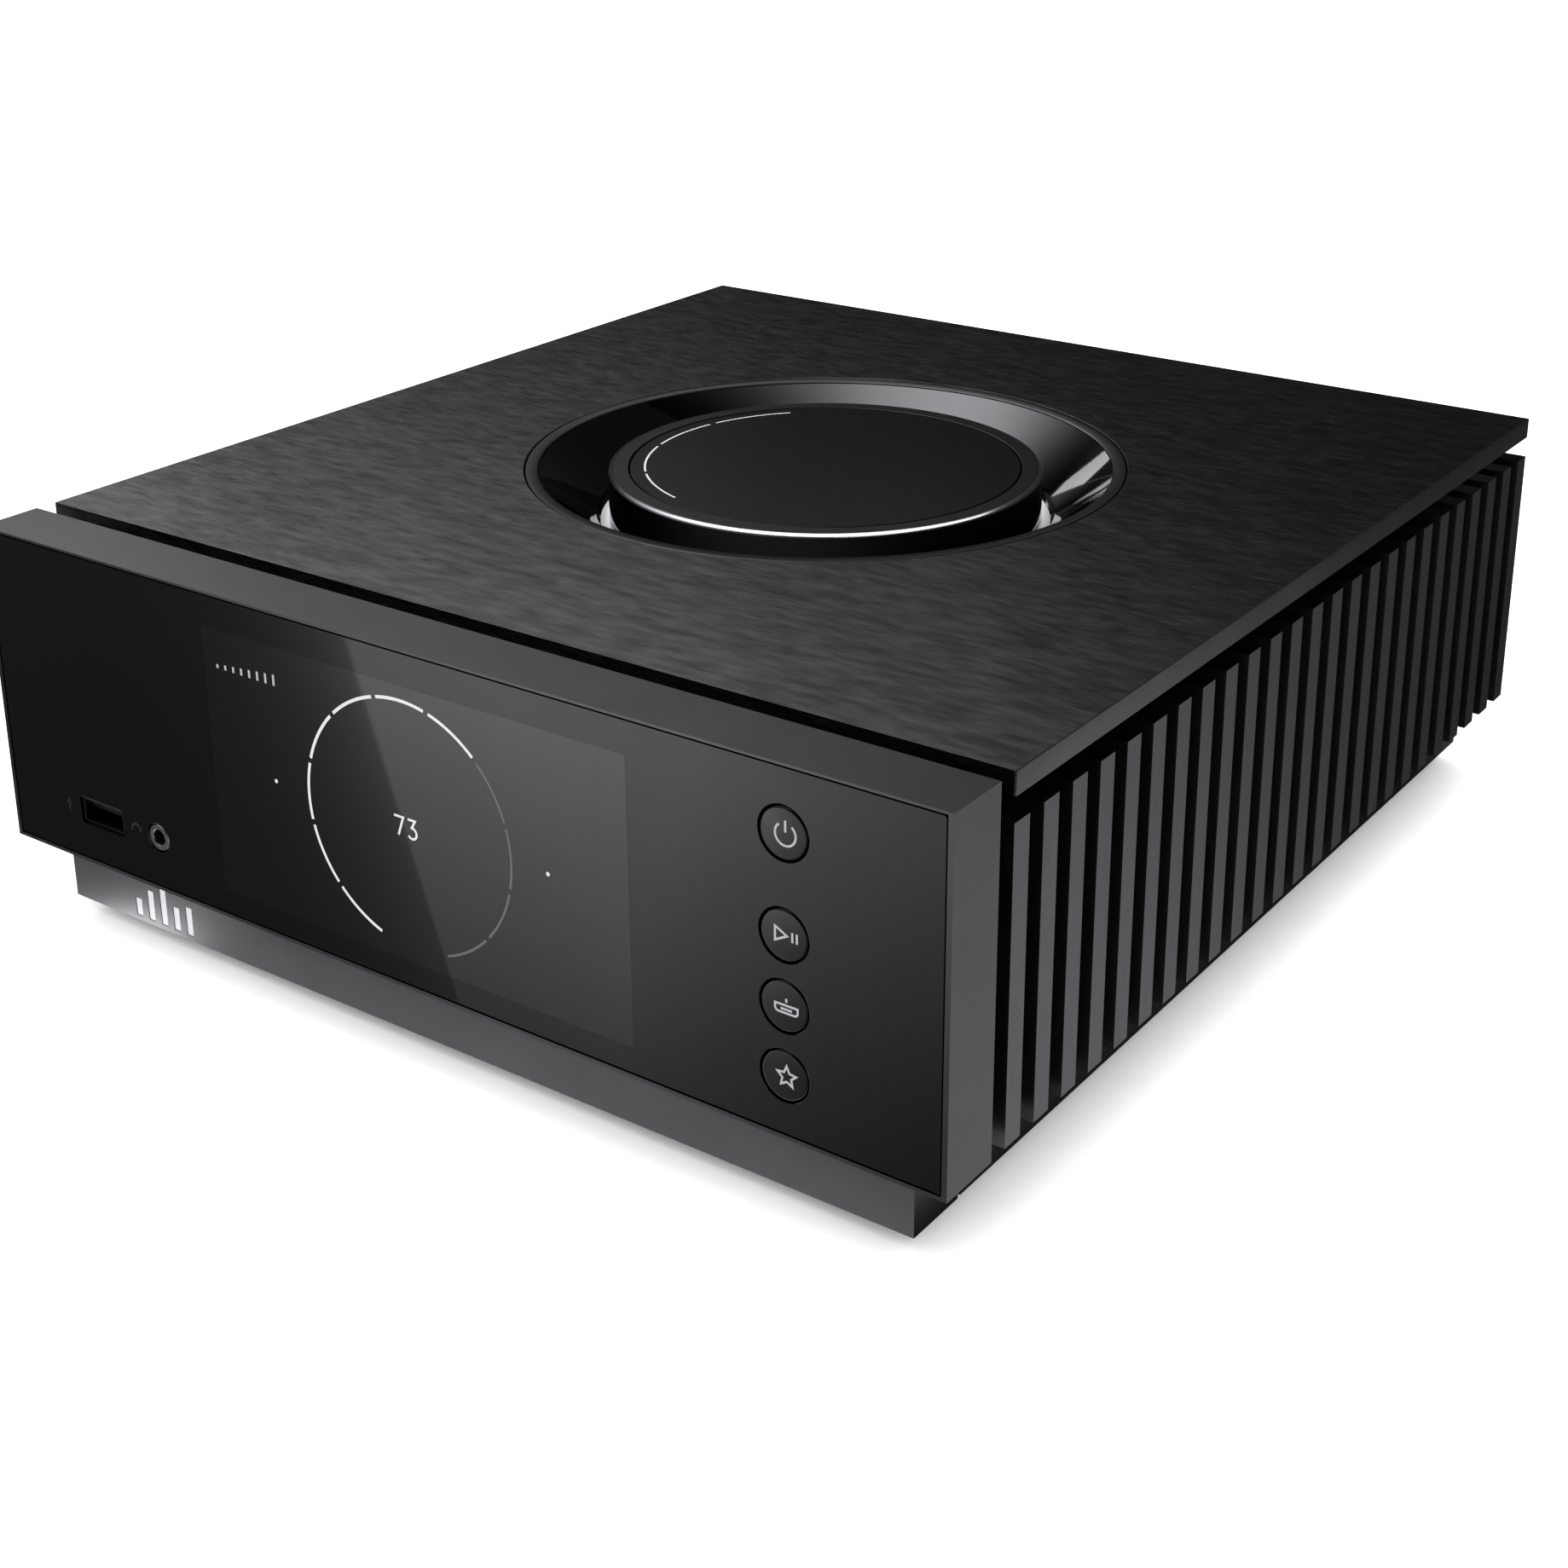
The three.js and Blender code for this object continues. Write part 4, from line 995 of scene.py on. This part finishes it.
def feet():
    for name in ("foot_front_left", "foot_front_right", "foot_rear_left", "foot_rear_right"):
        centre = middle(name)
        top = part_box(name)[1].z / MM
        profile = [(0, 1.6), (3.2, 1.6), (3.6, 1.2), (3.6, 0.5), (4.2, 0.25), (9.6, 0.0), (10.6, 0.15),
                   (11.3, 0.7), (11.9, 1.9), (12.0, 2.4), (11.7, 2.6), (11.7, 2.9), (12.0, 3.1),
                   (12.0, top - 0.4), (11.6, top), (0, top)]
        mesh = turned(name + "_pad", profile, Vector((centre.x, centre.y, 0)), "Z", 64)
        piece(name + "_pad", mesh, RUBBER, [name])
        screw_head(name + "_screw", Vector((centre.x, centre.y, 1.55 * MM)), DOWNWARD, 3.0, 0.9)


def screw_head(name, place, outward, radius=2.6, height=1.3):
    """A pan-head screw with a six-lobed socket, standing out of a face at place."""
    turns = [TURN * i / SCREW_SIDES for i in range(SCREW_SIDES)]
    head = ((1, 0), (1, 0.35), (0.93, 0.7), (0.75, 0.95))
    socket = ((0.45, 1), (0.42, 0.35))
    loops = [[(*polar(0, 0, radius * r, a), height * h) for a in turns] for r, h in head]
    loops += [[(*polar(0, 0, radius * r * (1 + 0.12 * cos(6 * a)), a), height * h) for a in turns]
              for r, h in socket]
    bm = bmesh.new()
    rings = [[bm.verts.new(Vector(p) * MM) for p in loop] for loop in loops]
    bridge(bm, rings)
    bm.faces.new(rings[0][::-1])
    bm.faces.new(rings[-1])
    turn = outward.to_track_quat("Z", "Y").to_matrix().to_4x4()
    bm.transform(Matrix.Translation(place) @ turn)
    piece(name, mesh_from(name, bm, 30), SCREW)


def case_screws():
    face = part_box("rear_panel")[1].y
    spots = ((-99, 24), (-99, 78), (99, 24), (99, 78), (-57, 78.5), (-22, 53), (64, 53), (-57, 24),
             (62, 78.5))
    for i, (x, z) in enumerate(spots):
        screw_head(f"panel_screw_{i + 1}", Vector((x * MM, face, z * MM)), BACKWARD)
    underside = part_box("base_tray")[0].z
    for i, (x, y) in enumerate([(x, y) for x in (-106, 106) for y in (-104, 8, 123)]):
        screw_head(f"tray_screw_{i + 1}", Vector((x * MM, y * MM, underside)), DOWNWARD)


# ---- Rear sockets ----

SEAT = 122.8 * MM  # where the collars and flanges begin, just outside the rear panel
PHONO_PLACES = {"preamp_output": ((-48, WHITE_PLASTIC), (-32, RED)), "coaxial_input": ((14, ORANGE),),
                "analogue_input": ((38, WHITE_PLASTIC), (54, RED))}
PHONO_SHELL = [(3.75, 120.0), (4.15, 120.0), (4.15, 122.8), (5.3, 122.8), (5.55, 123.0), (5.55, 124.0),
               (5.3, 124.2), (4.15, 124.2), (4.15, 130.7), (3.9, 131.0), (3.65, 130.8), (3.65, 124.0)]
PHONO_CORE = [(1.7, 122.0), (3.6, 122.0), (3.6, 130.2), (3.4, 130.4), (1.95, 130.4), (1.7, 130.2)]


def phono_sockets():
    for node, places in PHONO_PLACES.items():
        z = middle(node).z
        low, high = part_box(node)
        first, last = places[0][0], places[-1][0]
        bm = bmesh.new()
        add_box(bm, ((first - 6) * MM, low.y, low.z), ((last + 6) * MM, 120.2 * MM, high.z), 0.3 * MM)
        piece(node + "_block", bm, replaces=[node])
        for x, colour in places:
            place = str(x).replace("-", "m")
            turned_piece(f"{node}_shell_{place}", PHONO_SHELL, x * MM, z, 64, GOLD)
            turned_piece(f"{node}_core_{place}", PHONO_CORE, x * MM, z, 48, colour)


def scalloped(x, z, radius, depth, lobes):
    sides = lobes * 10
    turns = [TURN * i / sides for i in range(sides)]
    return [polar(x, z, radius - depth * (0.5 - 0.5 * cos(lobes * a)), a) for a in turns]


def speaker_sockets():
    poles = {"negative": (PLASTIC, "black_plastic"), "positive": (RED, "red_plastic")}
    tube = [(2.05, 110), (4.5, 110), (4.5, 122.6), (3.25, 122.6), (3.25, 127.1), (3.05, 127.3),
            (2.25, 127.3), (2.05, 127.1)]
    for hand in ("left", "right"):
        for pole, (material, slot) in poles.items():
            node = f"speaker_{hand}_{pole}"
            x, z = axis_place(node)
            hole = circle(x, z, 3.3 * MM, 48, clockwise=True)
            plate_piece(node + "_collar", [scalloped(x, z, 5.6 * MM, 0.35 * MM, 18), hole], SEAT,
                        127.5 * MM, 0.3 * MM, material, [node])
            turned_piece(node + "_tube", tube, x, z, 48, GOLD)


def clipped_outline(x, z, w, h, corner, clockwise=False):
    """A rectangle about (x, z) with its two upper corners cut off. w and h are half sizes in mm."""
    points = [(-w, -h), (w, -h), (w, h - corner), (w - corner, h), (corner - w, h), (-w, h - corner)]
    return about(x, z, points[::-1] if clockwise else points)


def mains_inlet():
    x, z = axis_place("mains_inlet")
    cavity = clipped_outline(x, z, 12, 8, 4, clockwise=True)
    plate_piece("mains_inlet_flange", [centred(x, z, 16, 12, 1.6), cavity], SEAT, 125.3 * MM, 0.35 * MM,
                replaces=["mains_inlet"])
    body = clipped_outline(x, z, 13.5, 9.5, 3)
    plate_piece("mains_inlet_well", [body, cavity], 110 * MM, 122.75 * MM, 0.1 * MM)
    block_piece("mains_inlet_back", (x, z), (13.5, 9.5), (106, 109.9), 0.3)
    bm = bmesh.new()
    for dx, dz in ((-7, -1.5), (0, 2.5), (7, -1.5)):
        add_block(bm, x + dx * MM, z + dz * MM, 1, 2, 109.5, 121.8, 0.35)
    piece("mains_inlet_pins", bm, PLATED)


def rocker():
    """The rocker's usual two signs, printed on its two faces."""
    soften("power_rocker", 0.35)
    soften("rocker_housing", 0.35)
    pivot = joint_place("mains_rocker_tilt")
    rest_tilt = radians(9)
    slope = atan2(2.0, 7.83)
    ring = (circle(0, 0, 1.5 * MM, 40), True)
    bar = ([(-1.6 * MM, 0), (1.6 * MM, 0)], False)
    for name, side, line in (("rocker_mark_off", -1, ring), ("rocker_mark_on", 1, bar)):
        bm = bmesh.new()
        add_stroke(bm, line[0], 0.45 * MM, 0, 0.04 * MM, line[1])
        bm.transform(Matrix.Rotation(pi, 4, "Z"))
        on_face = Matrix.Translation((0, 4.25 * MM, side * 3.95 * MM))
        on_face = on_face @ Matrix.Rotation(side * -slope, 4, "X")
        bm.transform(Matrix.Translation(pivot) @ Matrix.Rotation(rest_tilt, 4, "X") @ on_face)
        piece(name, bm, WHITE_PLASTIC, body="mains_rocker")


def optical_socket():
    soften("optical_shutter", 0.12)
    x, z = axis_place("optical_input")
    cavity = centred(x, z, 3.8, 3.8, 0.3, clockwise=True)
    plate_piece("optical_frame", [centred(x, z, 5.5, 5.5, 0.8), cavity], SEAT, 124.8 * MM, 0.25 * MM,
                replaces=["optical_input"])
    plate_piece("optical_body", [centred(x, z, 4.6, 4.6, 0.4), cavity], 112 * MM, 122.75 * MM, 0.1 * MM)
    block_piece("optical_back", (x, z), (4.6, 4.6), (108, 111.9), 0.2)


def ethernet_socket():
    low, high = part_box("ethernet_socket")
    x, z = axis_place("ethernet_socket")
    outer = rounded_rectangle(low.x, high.x, low.z, high.z, 0.5 * MM)
    mouth = [(-5.9, 4.6), (5.9, 4.6), (5.9, -3.4), (3.0, -3.4), (3.0, -5.5), (-3.0, -5.5), (-3.0, -3.4),
             (-5.9, -3.4)]
    plate_piece("ethernet_shell", [outer, about(x, z, mouth)], 110 * MM, high.y, 0.12 * MM, PLATED,
                ["ethernet_socket"])
    bm = bmesh.new()
    add_box(bm, (low.x, 106 * MM, low.z), (high.x, 109.95 * MM, high.z), 0.2 * MM)
    piece("ethernet_back", bm)
    bm = bmesh.new()
    for i in range(8):
        contact_x = x + (i - 3.5) * 1.02 * MM
        add_block(bm, contact_x, z + 3.8 * MM, 0.2, 0.2, 111, 121.5)
        add_block(bm, contact_x, z + 2.55 * MM, 0.2, 1.35, 110.5, 111.1)
    piece("ethernet_contacts", bm, GOLD)
    for hand, side, material in (("left", -1, ORANGE), ("right", 1, WHITE_PLASTIC)):
        block_piece("ethernet_window_" + hand, (x + side * 5.2 * MM, z - 5.2 * MM), (1.3, 0.7),
                    (122.6, high.y / MM + 0.05), 0.1, material)


def hdmi_socket():
    low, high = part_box("hdmi_socket")
    x, z = axis_place("hdmi_socket")
    back, mouth = low.y / MM, high.y / MM
    outlines = [hdmi_outline(x, z, 7.6, 3.2, 0), hdmi_outline(x, z, 7.6, 3.2, 0.6)[::-1]]
    plate_piece("hdmi_shell", outlines, low.y, high.y, 0.1 * MM, PLATED, ["hdmi_socket"])
    bm = bmesh.new()
    inset = 0.5 * MM
    add_box(bm, (low.x + inset, low.y, low.z + inset), (high.x - inset, (back + 1) * MM, high.z - inset))
    add_block(bm, x, z + 0.4 * MM, 5.7, 0.65, 110.5, mouth - 1, 0.15)
    piece("hdmi_tongue", bm)
    bm = bmesh.new()
    for i in range(10):
        add_block(bm, x + (i - 4.5) * MM, z - 0.25 * MM, 0.15, 0.05, 112, mouth - 1.6)
    piece("hdmi_contacts", bm, GOLD)


def hdmi_outline(x, z, half_wide, half_high, wall):
    """A rectangle whose lower corners step inward, shrunk by the wall on every side."""
    w, h = half_wide - wall, half_high - wall
    slant = 2.2 - 0.3 * wall
    return about(x, z, [(-w, h), (-w, -h + slant), (-w + 1.5, -h + slant - 1.2), (-w + 1.9, -h),
                        (w - 1.9, -h), (w - 1.5, -h + slant - 1.2), (w, -h + slant), (w, h)])


def antenna_socket():
    x, z = axis_place("antenna_socket")
    hexagon = [polar(x, z, 4.6 * MM, TURN * (i + 0.5) / 6) for i in range(6)]
    hole = circle(x, z, 3.15 * MM, 48, clockwise=True)
    plate_piece("antenna_nut", [hexagon, hole], SEAT, 125.2 * MM, 0.25 * MM, GOLD,
                ["antenna_socket"])
    profile = [(1.2, 112), (3.1, 112), (3.1, 125.4)]
    y = 125.4
    while y < 130.0:
        profile += [(2.85, y + 0.2), (3.1, y + 0.4)]
        y += 0.4
    profile += [(2.9, 130.5), (2.3, 130.5), (2.3, 126.5), (2.0, 126.5), (2.0, 130.0), (1.2, 130.0)]
    turned_piece("antenna_thread", profile, x, z, 48, GOLD)


def rear_prints():
    """Printed outlines that group the sockets, as plain thin lines."""
    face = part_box("rear_panel")[1].y
    groups = {"speaker": (-55, 11, 34, 50), "preamp": (-57, -23, 56, 73), "analogue": (29, 63, 56, 73)}
    for name, (x0, x1, z0, z1) in groups.items():
        outline = rounded_rectangle(x0 * MM, x1 * MM, z0 * MM, z1 * MM, 2 * MM)
        bm = bmesh.new()
        add_stroke(bm, outline, 0.3 * MM, 0, 0.02 * MM, True)
        bm.transform(Matrix.Translation((0, face, 0)) @ Matrix.Diagonal((1, -1, 1, 1)))
        piece("rear_print_" + name, bm, PRINT)


# ---- Making ----

make_camera()
finish_cad_nodes()
for make in (glass_pane, display_window, display_arc, display_number, display_marks, button_caps,
             headphone_jack, faint_marks, top_plate, dial_well, volume_ring, dial_disc, dial_arcs,
             case_edges, feet, case_screws, phono_sockets, speaker_sockets, mains_inlet, rocker,
             optical_socket, ethernet_socket, hdmi_socket, antenna_socket, rear_prints):
    make()
usb_socket("front_usb", -1)
usb_socket("rear_usb", 1)
make_studio()
